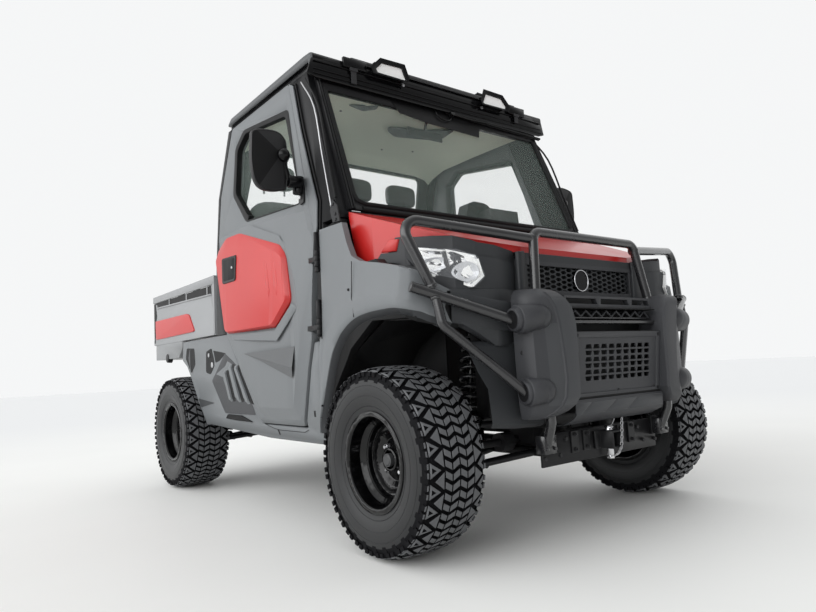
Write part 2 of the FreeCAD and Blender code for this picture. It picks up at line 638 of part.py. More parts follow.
# ---------------------------------------------------------------- body sides
def arch(axle, table):
    """Points of a wheel arch from rows of (degrees from the rear, clearance to the tyre)."""
    points = []
    for degrees, clearance in table:
        reach = f"(tyre_diameter / 2 + {clearance})"
        points.append((f"{axle} + {reach} * {math.cos(math.radians(degrees)):.5f}",
                       f"{AXLE_HEIGHT} + {reach} * {math.sin(math.radians(degrees)):.5f}"))
    return points


def build_sides():
    front_arch = arch(FRONT_AXLE, [(12, 46), (39, 66), (66, 104), (90, 156), (112, 186), (131, 196)])
    outer = front_arch + [(at(-332), 832), (at(-110), 932), (at(-40), 1000), (at(100), 1000),
                          (at(172), 1024), (at(228), 1200),
                          (at(343), 1180), (at(343), 745), (at(384), 737), (at(384), 392)]
    plan = [(640.3, -262), (720, -240), (775, -215), (800, -180), (797, 0), (775, 200), (768, 400),
            (738, 400), (738, 200), (760, 0), (764, -160), (750, -186), (715, -206), (640.3, -226)]
    skin = common("fender_skin", prism("fender_side", "side", outer, 640.3, 820),
                  prism("fender_plan", "plan", [(x, at(y)) for x, y in plan], 200, 1300))
    liner_arch = arch(FRONT_AXLE, [(16, 45), (39, 74), (66, 110), (90, 162), (114, 192)])
    liner_back = arch(FRONT_AXLE, [(114, 186), (90, 156), (66, 104), (39, 68), (16, 39)])
    liner = prism("fender_liner", "side", liner_arch + liner_back, 430, 740)
    wall = prism("liner_wall", "side", liner_arch + [(at(-190), 440), (at(330), 440)], 424, 431)
    node_pair("front_fenders", cut("fender_clear", fuse("fender_all", skin, liner, wall), box(
        "strut_room", (400, 500), (at(-130), at(20)), (430, 800))))

    rear_arch = arch(REAR_AXLE, [(172, 54), (150, 64), (118, 140)])
    quarter = [(at(388), 334), (at(975), 334), (at("wheelbase - 430"), 368)] + rear_arch + [
        (at("wheelbase - 190"), 836), (at(f"{CAB_REAR} - 143"), 836)]
    door_edge = [(at(f"{CAB_REAR} - 150"), 832), (at(985), "door_bottom - panel_gap"),
                 (at(562), "door_bottom - panel_gap"),
                 (at(430), 745), (at(388), 745)]
    panel = common("side_panel", prism("side_panel_side", "side", quarter + door_edge, 600, 820),
                   side_band("side_panel_band", 4, 34, 340, "wheelbase + 50"))
    node_pair("side_panels", panel)


def build_hood():
    plan = [(321, -284), (480, -224), (560, -190), (660, -60), (700, 80), (720, 214)]
    mirrored_plan = [(-x, y) for x, y in reversed(plan)]
    edge = prism("hood_edge", "plan", [(x, at(y)) for x, y in plan + mirrored_plan], 900, 1300)
    inner = prism("hood_inside", "plan", [(x, at(y)) for x, y in [
        (315, -262), (545, -170), (640, -50), (698, 214 + 5), (-698, 214 + 5), (-640, -50), (-545, -170),
        (-315, -262)]], 900, 1300)
    top = common("hood_top", edge, prism("hood_top_side", "side", [
        (at(-290), 1029), (at(-100), 1106), (at(216), 1226), (at(216), "1226 - hood_skin"),
        (at(-100), "1106 - hood_skin"), (at(-290), "1029 - hood_skin")], -760, 760))
    skirt = common("hood_skirt", cut("hood_shell", edge, inner), prism("hood_skirt_side", "side", [
        (at(-284), 1010), (at(-200), 1026), (at(-40), 1086), (at(40), 1008), (at(100), 1010), (at(172), 1034),
        (at(214), 1200), (at(214), 1226), (at(-284), 1032)], -760, 760))
    eyes = []
    bores = []
    for side in (1, -1):
        lug = sorted((side * 580, side * 600))
        eyes.append(cylinder(f"hood_eye{side + 1}", "x", (lug[0], at(196), 1182), 26, 20))
        eyes.append(box(f"hood_stem{side + 1}", lug, (at(184), at(208)), (1182, 1214)))
        bores.append(cylinder(f"hood_bore{side + 1}", "x", (lug[0] - 5, at(196), 1182),
                              "14 + 2 * running_gap", 30))
    top = fuse("hood_lugged", top, *eyes)
    node("hood", cut("hood_done", fuse("hood_all", top, skirt), *bores, prism("hood_over", "side", [
        (at(-300), 1025), (at(-290), 1029.5), (at(-100), 1106.5), (at(220), 1227.5), (at(220), 1400),
        (at(-300), 1400)], -760, 760)))
    node_pair("hood_hinges", fuse("hood_hinge", cylinder("hood_hinge_pin", "x", (582, at(196), 1182), 14, 24),
                                  prism("hood_hinge_arm", "side", side_points([
                                      (186, 1190), (202, 1190), (212, 1176), (351.7, 1176), (351.7, 1155),
                                      (186, 1155)]), 600.3, 612)))


def build_bed():
    low = "bed_floor"
    top = "bed_floor + bed_height"
    rear = "wheelbase + rear_overhang - 32"
    tub = box("bed_outer", ("-bed_half_width", "bed_half_width"), (at(BED_FRONT), at(rear)), (low, top))
    room = box("bed_room", ("-(bed_half_width - bed_wall)", "bed_half_width - bed_wall"),
               (at(f"{BED_FRONT} + bed_wall"), at(f"{rear} + 10")), ("bed_floor + 12", f"{top} + 10"))
    slots = [box(f"bed_slot{number}", ("-bed_half_width - 20", "bed_half_width + 20"),
                 (at(f"{BED_FRONT} + {near}"), at(f"{BED_FRONT} + {near + 190}")),
                 (f"{top} - 52", f"{top} - 30"))
             for number, near in enumerate(range(90, 900, 260))]
    pieces = [cut("bed_tub", tub, room, *slots)]
    for side in (1, -1):
        spans = [sorted((side * a, side * b)) for a, b in ((250, 300), (275, 300), (560, 726))]
        pieces.append(box(f"bed_runner{side + 1}", spans[0], (at(f"{BED_FRONT} + 20"), at("wheelbase + 520")),
                          ("830 + running_gap", f"{low} + 2")))
        lug = fuse(f"bed_lug{side + 1}",
                   cylinder(f"bed_lug_eye{side + 1}", "x", (spans[1][0], at("wheelbase + 420"), 800), 44, 25),
                   box(f"bed_lug_stem{side + 1}", spans[1], (at("wheelbase + 404"), at("wheelbase + 442")),
                       (800, 835)))
        pieces.append(cut(f"bed_lug_bored{side + 1}", lug, cylinder(
            f"bed_lug_bore{side + 1}", "x", (spans[1][0] - 2, at("wheelbase + 420"), 800),
            "16 + 2 * running_gap", 29)))
        pieces.append(prism(f"bed_bracket{side + 1}", "side", [
            (at("wheelbase + 15"), f"{low} + 2"), (at("wheelbase + 15"), 812), (at("wheelbase + 80"), 752),
            (at("wheelbase + 530"), 752), (at("wheelbase + 530"), f"{low} + 2")], *spans[2]))
        pieces.append(cylinder(f"gate_pin{side + 1}", "x", (side * 686 - 26, at(f"{rear} + 20"),
                                                            f"{low} + 18"), 14, 52))
        pieces.append(box(f"gate_ear{side + 1}", sorted((side * 712, side * 724)),
                          (at(f"{rear} - 10"), at(f"{rear} + 30")),
                          (f"{low} + 4", f"{low} + 34")))
    node("cargo_bed", fuse("bed_all", *pieces))

    gate = box("gate_panel", ("-(bed_half_width - 24)", "bed_half_width - 24"),
               (at(f"{rear} + 8"), at(f"{rear} + 32")), (f"{low} + 10", f"{top} - 2"))
    room = [box(f"gate_room{side + 1}", sorted((side * 686, side * 740)),
                (at(f"{rear} - 20"), at(f"{rear} + 60")),
                (f"{low} - 20", f"{low} + 40")) for side in (1, -1)]
    barrel = cylinder("gate_barrel", "x", (-686, at(f"{rear} + 20"), f"{low} + 18"), 26, 1372)
    bore = cylinder("gate_bore", "x", (-700, at(f"{rear} + 20"), f"{low} + 18"), "14 + 2 * running_gap", 1400)
    node("tailgate", cut("gate_done", fuse("gate_all", cut("gate_cut", gate, *room), barrel), bore))


def build_doors():
    shape = [(572, 407), (440, 753), (398, 1174), (640, 1893), (1268, 1893), (1390, 1560), (1402, 1331),
             (1277, 842),
             (973, 407)]
    window = [(508, 1322), (640, 1775), (1117, 1838), (1215, 1770), (1225, 1530), (1055, 1360)]
    red = [(785, 827), (650, 950), (700, 1168), (1165, 1316), (1358, 1316), (1262, 846)]
    side_reach = ("body_half_width - 168", "body_half_width + 60")
    door_rows = []
    for behind, height in shape:
        z = {407: "door_bottom", 1893: "door_top"}.get(height, height)
        y = at(f"{CAB_REAR} - {cab_rear - behind:g}") if behind > 1000 else at(behind)
        door_rows.append((y, z))
    outer = prism("door_outline", "side", door_rows, *side_reach, convex=26)
    opening = prism("door_opening", "side", side_points(window), *side_reach, convex=28)
    slab = cut("door_slab", common("door_skin", outer, side_band("door_band", 0, "door_thickness", 380,
                                                                 1440)), opening)
    arms = []
    for number, height in enumerate((797, 1065)):
        lug = fuse(f"hinge_lug{number}", cylinder(f"hinge_eye{number}", "z", (774, at(360), height - 10),
                                                  22, 20),
                   box(f"hinge_leaf{number}", (764, 780), (at(362), at(470)), (height - 10, height + 10)))
        arms.append(cut(f"hinge_bored{number}", lug, cylinder(
            f"hinge_bore{number}", "z", (774, at(360), height - 30), "12 + 2 * running_gap", 60)))
    left = fuse("door_all", slab, *arms)
    pane = common("door_pane", side_band("door_pane_band", 24, 29, 380, 1440), extrude(
        "door_pane_outline", "side", grown("door_pane_grow", opening.Base, "-running_gap"), *side_reach))
    insert = common("door_insert", prism("insert_outline", "side", side_points(red), *side_reach, convex=34),
                    side_band("insert_band", -20, "-running_gap", 600, 1400))
    arm = fuse("mirror_arm", box("mirror_bar", ("body_half_width - 17.2", 850), (at(488), at(514)),
                                 (1392, 1420)),
               box("mirror_stem", (826, 850), (at(450), at(514)), (1392, 1470)))
    mirror = fuse("mirror", arm, prism("mirror_head", "front", [
        (820, 1350), (832, 1590), (940, 1590), ("body_half_width + mirror_reach + 20", 1560),
        ("body_half_width + mirror_reach", 1350), (900, 1338)], at(432), at(486), convex=26))
    for label, piece in (("door", left), ("door_glass", pane), ("door_panel", insert),
                         ("door_mirror", mirror)):
        node(f"{label}_left", piece)
        node(f"{label}_right", mirrored(f"{label}_right", piece))


# ---------------------------------------------------------------- wheels and steering
def build_wheels():
    outer = D["wheel_half_width"]
    width = D["tyre_width"]
    radius = D["tyre_diameter"] / 2
    flange = D["rim_diameter"] / 2
    bead = D["bead_diameter"] / 2
    gap = D["running_gap"]
    middle = outer - width / 2
    rim_in = middle - 110
    rim_out = middle + 110
    tyre_half = [  # (distance from the middle plane, radius) from the bead to the crown
        (103.7, bead + gap), (103.7, flange + 1), (width / 2 - 6, flange + 26), (width / 2, flange + 62),
        (width / 2 - 8, radius - 22), (width / 2 - 22, radius - 4), (60, radius)]
    inside = [(90, bead + gap), (90, bead + 14), (width / 2 - 22, flange + 30), (width / 2 - 16, flange + 62),
              (width / 2 - 26, radius - 34), (60, radius - 18)]
    profile = ([(middle + u, r) for u, r in tyre_half] + [(middle - u, r) for u, r in reversed(tyre_half)]
               + [(middle - u, r) for u, r in inside] + [(middle + u, r) for u, r in reversed(inside)])
    rim = [  # (station across the vehicle, radius): the barrel, its drop centre and the dished disc
        (rim_out, flange - 2), (rim_out, flange - 18), (rim_out - 8, bead - 5), (middle + 60, bead - 6),
        (middle + 40, bead - 26), (middle + 22, bead - 30), (middle + 22, 92), (middle + 6, 74),
        (middle + 14, 44),
        (middle + 40, 40), (middle + 40, 30), (middle + 4, 30), (middle + 4, D["hub_bore"] / 2),
        (middle - 12, D["hub_bore"] / 2), (middle - 12, 70), (middle + 14, 96), (middle + 14, bead - 32),
        (middle - 36, bead - 32), (middle - 60, bead - 7), (rim_in + 7, bead - 5), (rim_in, flange - 18),
        (rim_in, flange), (rim_in + 6, flange), (rim_in + 6, bead), (middle - 64, bead),
        (middle - 40, bead - 24),
        (middle + 44, bead - 24), (middle + 64, bead), (rim_out - 6, bead), (rim_out - 6, flange),
        (rim_out, flange)]
    for axle, behind in (("front", 0), ("rear", D["wheelbase"])):
        for side, sign in (("left", 1), ("right", -1)):
            for label, section in (("tyre", profile), ("rim", rim)):
                ring = [station(sign * x, behind, axle_height + r) for x, r in section]
                face = Part.Face(Part.makePolygon(ring + ring[:1]))
                solid = face.revolve(station(0, behind, axle_height), V(1, 0, 0), 360)
                if solid.Volume < 0:
                    solid.reverse()
                node(f"{label}_{axle}_{side}", feature(f"{label}_{axle}_{side}_solid", solid))


def build_steering():
    ball_low = axle_height - 78
    ball_high = axle_height + 84
    housing = 30
    gap = D["running_gap"]
    pin = D["kingpin_diameter"] / 2
    low = ball_low + housing / 2 + gap
    high = ball_high - housing / 2 - gap
    eye = station(kingpin_x - 60, 70, 0)
    rack_height = 311
    knuckle = [
        Part.makeCylinder(20, high - low, station(kingpin_x, 0, low)),
        Part.makeCylinder(pin, ball_high - ball_low + 24, station(kingpin_x, 0, ball_low - 12)),
        rod(station(kingpin_x, 0, axle_height), station(D["wheel_half_width"] - 86, 0, axle_height),
            D["hub_bore"] / 2 - gap),
        Part.makeCylinder(30, 24, station(kingpin_x, 0, axle_height), V(1, 0, 0)),
        rod(station(kingpin_x, 4, 288), V(eye.x, eye.y, 288), 9),
        Part.makeCylinder(15, 18, V(eye.x, eye.y, 279))]
    left = feature("knuckle_solid", merged(knuckle))
    node("knuckle_front_left", left)
    node("knuckle_front_right", mirrored("knuckle_right", left))

    half = [Part.makeCylinder(15, 16, V(eye.x, eye.y, rack_height - 8)),
            rod(V(0, eye.y, rack_height), V(eye.x, eye.y, rack_height), 8)]
    rack = merged(half + [shape.mirror(V(), V(1, 0, 0)) for shape in half])
    node("steering_rack", feature("steering_rack_solid", rack))
    box_x = 175
    low_z = 298
    case = Part.makeBox(2 * box_x, 50, 27, station(-box_x, 45, low_z + gap))
    case = case.cut(rod(V(-box_x - 5, eye.y, rack_height), V(box_x + 5, eye.y, rack_height), 8 + gap))
    node("rack_housing", feature("rack_housing_solid", case))


def export():
    doc.recompute()
    for obj in doc.Objects:
        if "Invalid" in obj.State or "Error" in obj.State:
            raise RuntimeError(f"{obj.Name} failed")
    for label, obj in nodes.items():
        if obj.Shape.isNull() or not obj.Shape.isValid() or not obj.Shape.Solids:
            raise RuntimeError(f"{label} has no valid solid")
    os.makedirs("parts", exist_ok=True)
    for label, obj in nodes.items():
        obj.Shape.exportStep(f"parts/{label}.step")
        print(label, len(obj.Shape.Solids), round(obj.Shape.Volume / 1e6, 2))


build_sides()
build_hood()
build_bed()
build_doors()
build_wheels()
build_steering()
export()
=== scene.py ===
"""The looks of a two-door side-by-side utility vehicle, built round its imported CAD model.

Metres, +Z up, the front faces -Y, +X is the vehicle's left. Stations are metres behind the front axle.
"""
import bpy
import bmesh
import json
import math
import random
from mathutils import Matrix, Vector


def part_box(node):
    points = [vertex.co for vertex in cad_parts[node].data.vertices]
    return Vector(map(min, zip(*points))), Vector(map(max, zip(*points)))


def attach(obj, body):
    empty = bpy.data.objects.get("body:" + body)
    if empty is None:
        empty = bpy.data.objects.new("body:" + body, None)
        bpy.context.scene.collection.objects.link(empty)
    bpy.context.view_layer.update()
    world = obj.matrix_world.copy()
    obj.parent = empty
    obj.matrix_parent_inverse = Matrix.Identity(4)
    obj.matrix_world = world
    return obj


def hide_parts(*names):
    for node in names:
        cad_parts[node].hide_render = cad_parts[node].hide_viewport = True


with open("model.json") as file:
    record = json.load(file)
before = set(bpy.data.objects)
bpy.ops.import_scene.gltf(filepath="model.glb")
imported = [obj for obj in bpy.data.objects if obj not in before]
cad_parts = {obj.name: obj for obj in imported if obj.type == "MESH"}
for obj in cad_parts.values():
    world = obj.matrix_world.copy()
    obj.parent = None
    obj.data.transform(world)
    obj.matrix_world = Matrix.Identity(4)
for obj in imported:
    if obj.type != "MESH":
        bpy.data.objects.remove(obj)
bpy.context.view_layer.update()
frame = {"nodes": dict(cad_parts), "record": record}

NODE_BODY = {node: body for body, nodes in frame["record"]["behaviour"]["bodies"].items() for node in nodes}
NODE_SLOT = {row["node"]: row["material_slot"] for row in frame["record"]["subparts"]}


def centre_of(node):
    low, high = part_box(node)
    return (low + high) / 2


AXLE = {"front": centre_of("tyre_front_left"), "rear": centre_of("tyre_rear_left")}
FRONT_AXLE = AXLE["front"].y
TYRE_RADIUS = AXLE["front"].z


def at(x, station, z):
    """A point from millimetres: across, behind the front axle, up."""
    return Vector((x / 1000, FRONT_AXLE + station / 1000, z / 1000))


# ---------------------------------------------------------------- materials
MATERIALS = {}


def material(name, colour, roughness=0.5, metallic=0.0, spread=0.12, grain=900, bump=0.08, coat=0.0,
             patches=9, alpha=1.0, sheen=0.0, specular=0.5):
    """Adds to MATERIALS a finish with fine grain and patches of a slightly different tone and roughness.

    Colours are linear; grain and patches are noise scales per metre.
    """
    mat = bpy.data.materials.new(name)
    mat.use_nodes = True
    nodes, links = mat.node_tree.nodes, mat.node_tree.links
    shader = nodes["Principled BSDF"]
    place = nodes.new("ShaderNodeTexCoord")
    large = nodes.new("ShaderNodeTexNoise")
    large.inputs["Scale"].default_value = patches
    large.inputs["Detail"].default_value = 6
    fine = nodes.new("ShaderNodeTexNoise")
    fine.inputs["Scale"].default_value = grain
    fine.inputs["Detail"].default_value = 3
    links.new(place.outputs["Object"], large.inputs["Vector"])
    links.new(place.outputs["Object"], fine.inputs["Vector"])
    tone = nodes.new("ShaderNodeMix")
    tone.data_type = "RGBA"
    tone.inputs["A"].default_value = [c * (1 - spread) for c in colour] + [1]
    tone.inputs["B"].default_value = [min(1, c * (1 + spread)) for c in colour] + [1]
    links.new(large.outputs["Fac"], tone.inputs["Factor"])
    links.new(tone.outputs["Result"], shader.inputs["Base Color"])
    rough = nodes.new("ShaderNodeMapRange")
    rough.inputs["To Min"].default_value = max(0.02, roughness - 0.07)
    rough.inputs["To Max"].default_value = min(1.0, roughness + 0.07)
    links.new(large.outputs["Fac"], rough.inputs["Value"])
    links.new(rough.outputs["Result"], shader.inputs["Roughness"])
    if bump:
        relief = nodes.new("ShaderNodeBump")
        relief.inputs["Strength"].default_value = bump
        relief.inputs["Distance"].default_value = 0.001
        links.new(fine.outputs["Fac"], relief.inputs["Height"])
        links.new(relief.outputs["Normal"], shader.inputs["Normal"])
    shader.inputs["Metallic"].default_value = metallic
    shader.inputs["Specular IOR Level"].default_value = specular
    shader.inputs["Coat Weight"].default_value = coat
    shader.inputs["Coat Roughness"].default_value = 0.08
    shader.inputs["Sheen Weight"].default_value = sheen
    shader.inputs["Alpha"].default_value = alpha
    MATERIALS[name] = mat
    return mat


material("frame_black", (0.008, 0.008, 0.009), 0.42, spread=0.2, grain=500, specular=0.35)
material("tube_black", (0.014, 0.014, 0.0155), 0.28, spread=0.15, grain=420, bump=0.12, coat=0.6)
material("engine_grey", (0.06, 0.06, 0.062), 0.6, 0.3, 0.2, 260, 0.25, specular=0.3)
material("radiator_black", (0.006, 0.006, 0.007), 0.6, 0.0, 0.2, 300, 0.2, specular=0.2)
material("spring_black", (0.005, 0.005, 0.006), 0.26, spread=0.2, grain=300, specular=0.5)
material("cast_grey", (0.035, 0.035, 0.037), 0.6, 0.3, 0.2, 240, 0.3, specular=0.3)
material("cabin_plastic", (0.035, 0.036, 0.037), 0.6, spread=0.15, grain=700, bump=0.2, specular=0.3)
material("cab_black", (0.009, 0.009, 0.010), 0.40, spread=0.15, grain=500, specular=0.22)
material("roof_black", (0.004, 0.004, 0.0045), 0.26, spread=0.15, grain=500, bump=0.03, specular=0.2)
material("gloss_black", (0.003, 0.003, 0.0035), 0.16, spread=0.15, grain=500, bump=0.02, specular=0.25)
material("soft_black", (0.012, 0.012, 0.013), 0.7, spread=0.2, grain=900, bump=0.15, specular=0.3)
material("seat_vinyl", (0.055, 0.056, 0.060), 0.5, spread=0.2, grain=420, bump=0.35, sheen=0.1)
material("grey_plastic", (0.154, 0.163, 0.170), 0.46, spread=0.05, grain=1100, bump=0.10, patches=5,
         specular=0.35)
material("dark_plastic", (0.036, 0.037, 0.041), 0.5, spread=0.08, grain=1000, bump=0.16, patches=5,
         specular=0.4)
material("fascia_plastic", (0.031, 0.033, 0.036), 0.5, spread=0.08, grain=1000, bump=0.16, patches=5,
         specular=0.35)
material("grille_black", (0.006, 0.006, 0.007), 0.4, spread=0.15, grain=700, specular=0.35)
material("red_plastic", (0.47, 0.012, 0.010), 0.33, spread=0.06, grain=1200, bump=0.04, patches=4,
         coat=0.12)
material("bed_steel", (0.258, 0.264, 0.271), 0.42, spread=0.06, grain=600, bump=0.06, patches=5)
material("tyre", (0.006, 0.006, 0.007), 0.8, spread=0.25, grain=340, bump=0.35, patches=14, specular=0.1)
material("lug", (0.105, 0.108, 0.114), 0.55, spread=0.2, grain=340, bump=0.3, patches=14, specular=0.4)
material("sidewall", (0.0135, 0.014, 0.015), 0.42, spread=0.18, grain=420, bump=0.2, patches=12,
         specular=0.35)
material("rim_black", (0.0012, 0.0012, 0.0015), 0.14, spread=0.2, grain=500, bump=0.02, specular=0.4)
material("mirror_shell", (0.010, 0.010, 0.011), 0.48, spread=0.1, grain=900, bump=0.18, specular=0.4)
material("chrome", (0.72, 0.72, 0.74), 0.16, 1.0, 0.08, 300, 0.03)
material("zinc", (0.50, 0.50, 0.51), 0.34, 1.0, 0.15, 260, 0.1)
material("seal", (0.004, 0.004, 0.0045), 0.55, spread=0.2, grain=800, bump=0.1, specular=0.25)
# A lighter copy of dark_plastic: painted light on faces turned to the front.
material("lit_front_plastic", (0.048, 0.050, 0.054), 0.5, spread=0.08, grain=1000, bump=0.16, patches=5,
         specular=0.4)
material("lamp_lens", (0.75, 0.78, 0.82), 0.04, spread=0.02, grain=300, bump=0.0, alpha=0.05, coat=0.3)
material("lamp_silver", (0.62, 0.63, 0.65), 0.22, 0.35, 0.2, 200, 0.05)
material("lamp_white", (0.92, 0.92, 0.91), 0.2, spread=0.03, grain=400, bump=0.1)
material("glass", (0.50, 0.62, 0.56), 0.03, spread=0.04, grain=300, bump=0.0, alpha=0.065)
# A mid grey used as painted light on the roof's sides and as painted shade on the door's long facet.
material("lit_and_shaded_grey", (0.100, 0.104, 0.108), 0.5, spread=0.06, grain=900, bump=0.12, patches=5,
         specular=0.3)
material("headliner", (0.84, 0.89, 0.74), 0.85, spread=0.06, grain=600, bump=0.1, specular=0.2)
material("red_lens", (0.30, 0.008, 0.008), 0.15, spread=0.1, grain=300, bump=0.02, coat=0.4)
material("mirror", (0.82, 0.84, 0.86), 0.03, 1.0, 0.02, 200, 0.0)
material("cap_grey", (0.045, 0.046, 0.048), 0.45, spread=0.1, grain=600, bump=0.08)


# ---------------------------------------------------------------- mesh helpers
def angles(count):
    """Evenly spaced angles round a circle."""
    return [2 * math.pi * i / count for i in range(count)]


def middle_of(polygon):
    return [sum(p[k] for p in polygon) / len(polygon) for k in (0, 1)]


def shrunk(polygon, share, about=None):
    """The polygon drawn towards a point, its middle where none is given."""
    if share == 1:
        return polygon
    about = about or middle_of(polygon)
    return [tuple(about[k] + (p[k] - about[k]) * share for k in (0, 1)) for p in polygon]


def bridge(bm, near, far):
    """Quads between two closed loops of as many vertices each."""
    faces = []
    for i in range(len(near)):
        j = (i + 1) % len(near)
        faces.append(bm.faces.new((near[i], near[j], far[j], far[i])))
    return faces


def sheet_faces(rows, columns):
    """Vertex numbers of the quads of a grid."""
    return [(r * columns + i, r * columns + i + 1, (r + 1) * columns + i + 1, (r + 1) * columns + i)
            for r in range(rows - 1) for i in range(columns - 1)]


def mesh_object(name, verts, faces, finish, body="chassis"):
    """A mesh piece with one finish that rides a body."""
    mesh = bpy.data.meshes.new(name)
    mesh.from_pydata([tuple(v) for v in verts], [], faces)
    mesh.validate()
    return add_piece(name, mesh, finish, body)


def add_piece(name, mesh, finish, body="chassis", smooth=False):
    piece = bpy.data.objects.new(name, mesh)
    bpy.context.scene.collection.objects.link(piece)
    piece.data.materials.append(MATERIALS[finish])
    if smooth:
        piece.data.shade_smooth()
    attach(piece, body)
    return piece


def bmesh_piece(name, bm, finish, body="chassis", smooth=False):
    mesh = bpy.data.meshes.new(name)
    bmesh.ops.recalc_face_normals(bm, faces=bm.faces)
    bm.to_mesh(mesh)
    bm.free()
    return add_piece(name, mesh, finish, body, smooth)


def bevelled(piece, width, segments=2, angle=28):
    """Rounds the piece's sharp edges and applies it."""
    mod = piece.modifiers.new("round", "BEVEL")
    mod.width = width
    mod.segments = segments
    mod.limit_method = "ANGLE"
    mod.angle_limit = math.radians(angle)
    mod.use_clamp_overlap = True
    mod.harden_normals = True
    apply_modifiers(piece)
    return piece


def apply_modifiers(piece):
    evaluated = piece.evaluated_get(bpy.context.evaluated_depsgraph_get())
    mesh = bpy.data.meshes.new_from_object(evaluated)
    piece.modifiers.clear()
    piece.data = mesh


def sharpen(mesh, angle=32):
    """Smooth shading that breaks at edges sharper than the angle."""
    mesh.shade_smooth()
    bm = bmesh.new()
    bm.from_mesh(mesh)
    limit = math.radians(angle)
    for edge in bm.edges:
        edge.smooth = not (len(edge.link_faces) == 2 and edge.calc_face_angle(0) > limit)
    bm.to_mesh(mesh)
    bm.free()


def softened(node, width=0.004, segments=2, finish=None, angle=28):
    """A copy of a CAD node with its facets merged and its edges rounded, which stands for the node."""
    bm = bmesh.new()
    bm.from_mesh(frame["nodes"][node].data)
    bmesh.ops.remove_doubles(bm, verts=bm.verts, dist=1e-5)
    bmesh.ops.dissolve_limit(bm, angle_limit=math.radians(1.2), verts=bm.verts, edges=bm.edges)
    mesh = bpy.data.meshes.new(node + "_look")
    bm.to_mesh(mesh)
    bm.free()
    piece = add_piece(node + "_look", mesh, finish or NODE_SLOT[node], NODE_BODY[node])
    bevelled(piece, width, segments, angle)
    sharpen(piece.data)
    piece.data.materials.clear()
    piece.data.materials.append(MATERIALS[finish or NODE_SLOT[node]])
    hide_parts(node)
    return piece


def bar(name, points, radius, finish, body="chassis", sides=12, cyclic=False):
    """A round bar along points."""
    curve = bpy.data.curves.new(name, "CURVE")
    curve.dimensions = "3D"
    curve.bevel_depth = radius
    curve.bevel_resolution = max(1, sides // 4 - 1)
    curve.use_fill_caps = True
    spline = curve.splines.new("POLY")
    spline.points.add(len(points) - 1)
    for point, place in zip(spline.points, points):
        point.co = (*place, 1)
    spline.use_cyclic_u = cyclic
    holder = bpy.data.objects.new(name + "_path", curve)
    bpy.context.scene.collection.objects.link(holder)
    mesh = bpy.data.meshes.new_from_object(holder.evaluated_get(bpy.context.evaluated_depsgraph_get()))
    bpy.data.objects.remove(holder)
    return add_piece(name, mesh, finish, body, smooth=True)


def block(bm, low, high):
    """Adds a box between two corners."""
    size = high - low
    for v in bmesh.ops.create_cube(bm, size=1)["verts"]:
        v.co = Vector([(c + 0.5) * wide for c, wide in zip(v.co, size)]) + low


def disc(bm, centre, axis, radius, depth, sides=24, taper=1.0):
    """Adds a cylinder whose base centre and axis are given; taper scales its far end."""
    axis = Vector(axis).normalized()
    made = bmesh.ops.create_cone(bm, cap_ends=True, segments=sides, radius1=radius, radius2=radius * taper, depth=depth)
    turn = axis.to_track_quat("Z", "Y").to_matrix().to_4x4()
    bmesh.ops.transform(bm, verts=made["verts"],
                        matrix=Matrix.Translation(Vector(centre) + axis * depth / 2) @ turn)


def plate(bm, outline, offset):
    """Adds a closed prism: the outline's points and the same points moved by offset."""
    near = [bm.verts.new(p) for p in outline]
    far = [bm.verts.new(Vector(p) + Vector(offset)) for p in outline]
    bm.faces.new(near)
    bm.faces.new(list(reversed(far)))
    bridge(bm, far, near)


def both_sides(build):
    """Runs a builder for the vehicle's left (+1) and right (-1)."""
    return [build(side, sign) for side, sign in (("left", 1), ("right", -1))]


# ---------------------------------------------------------------- wheels
def revolve(profile, steps):
    """Vertices and faces of a ring about the X axis from (across, radius) pairs, closed along the profile."""
    verts, faces = [], []
    count = len(profile)
    for a in angles(steps):
        for across, radius in profile:
            verts.append((across, radius * math.cos(a), radius * math.sin(a)))
    for i in range(steps):
        for k in range(count):
            a, b = i * count + k, i * count + (k + 1) % count
            c, d = ((i + 1) % steps) * count + (k + 1) % count, ((i + 1) % steps) * count + k
            faces.append((a, b, c, d))
    return verts, faces


# Half profile of the carcass from the bead to the crown: (share of half width, radius in millimetres).
CARCASS = [(0.86, 153), (0.87, 172), (0.93, 190), (0.985, 212), (1.0, 234), (0.995, 254), (0.965, 274),
           (0.91, 290), (0.80, 299), (0.5, 303.5), (0.0, 305)]


CROWN_FROM = 280  # the carcass is crown, not side wall, above this radius in millimetres
SHOULDER_RADIUS = 0.29
SIDEWALL_RADIUS = 0.275
LUG_CLEARANCE = 0.0006  # lugs stay this far inside the CAD tyre
PITCHES = 30  # tread pitches round the tyre
TYRE_PARTS = ("tyre", "sidewall", "lug")


def carcass_radius(share):
    """Crown radius, in metres, at a share of the half width."""
    points = sorted((s, r) for s, r in CARCASS if r > CROWN_FROM)
    for (s0, r0), (s1, r1) in zip(points, points[1:]):
        if s0 <= share <= s1:
            return (r0 + (r1 - r0) * (share - s0) / (s1 - s0)) / 1000
    return SHOULDER_RADIUS


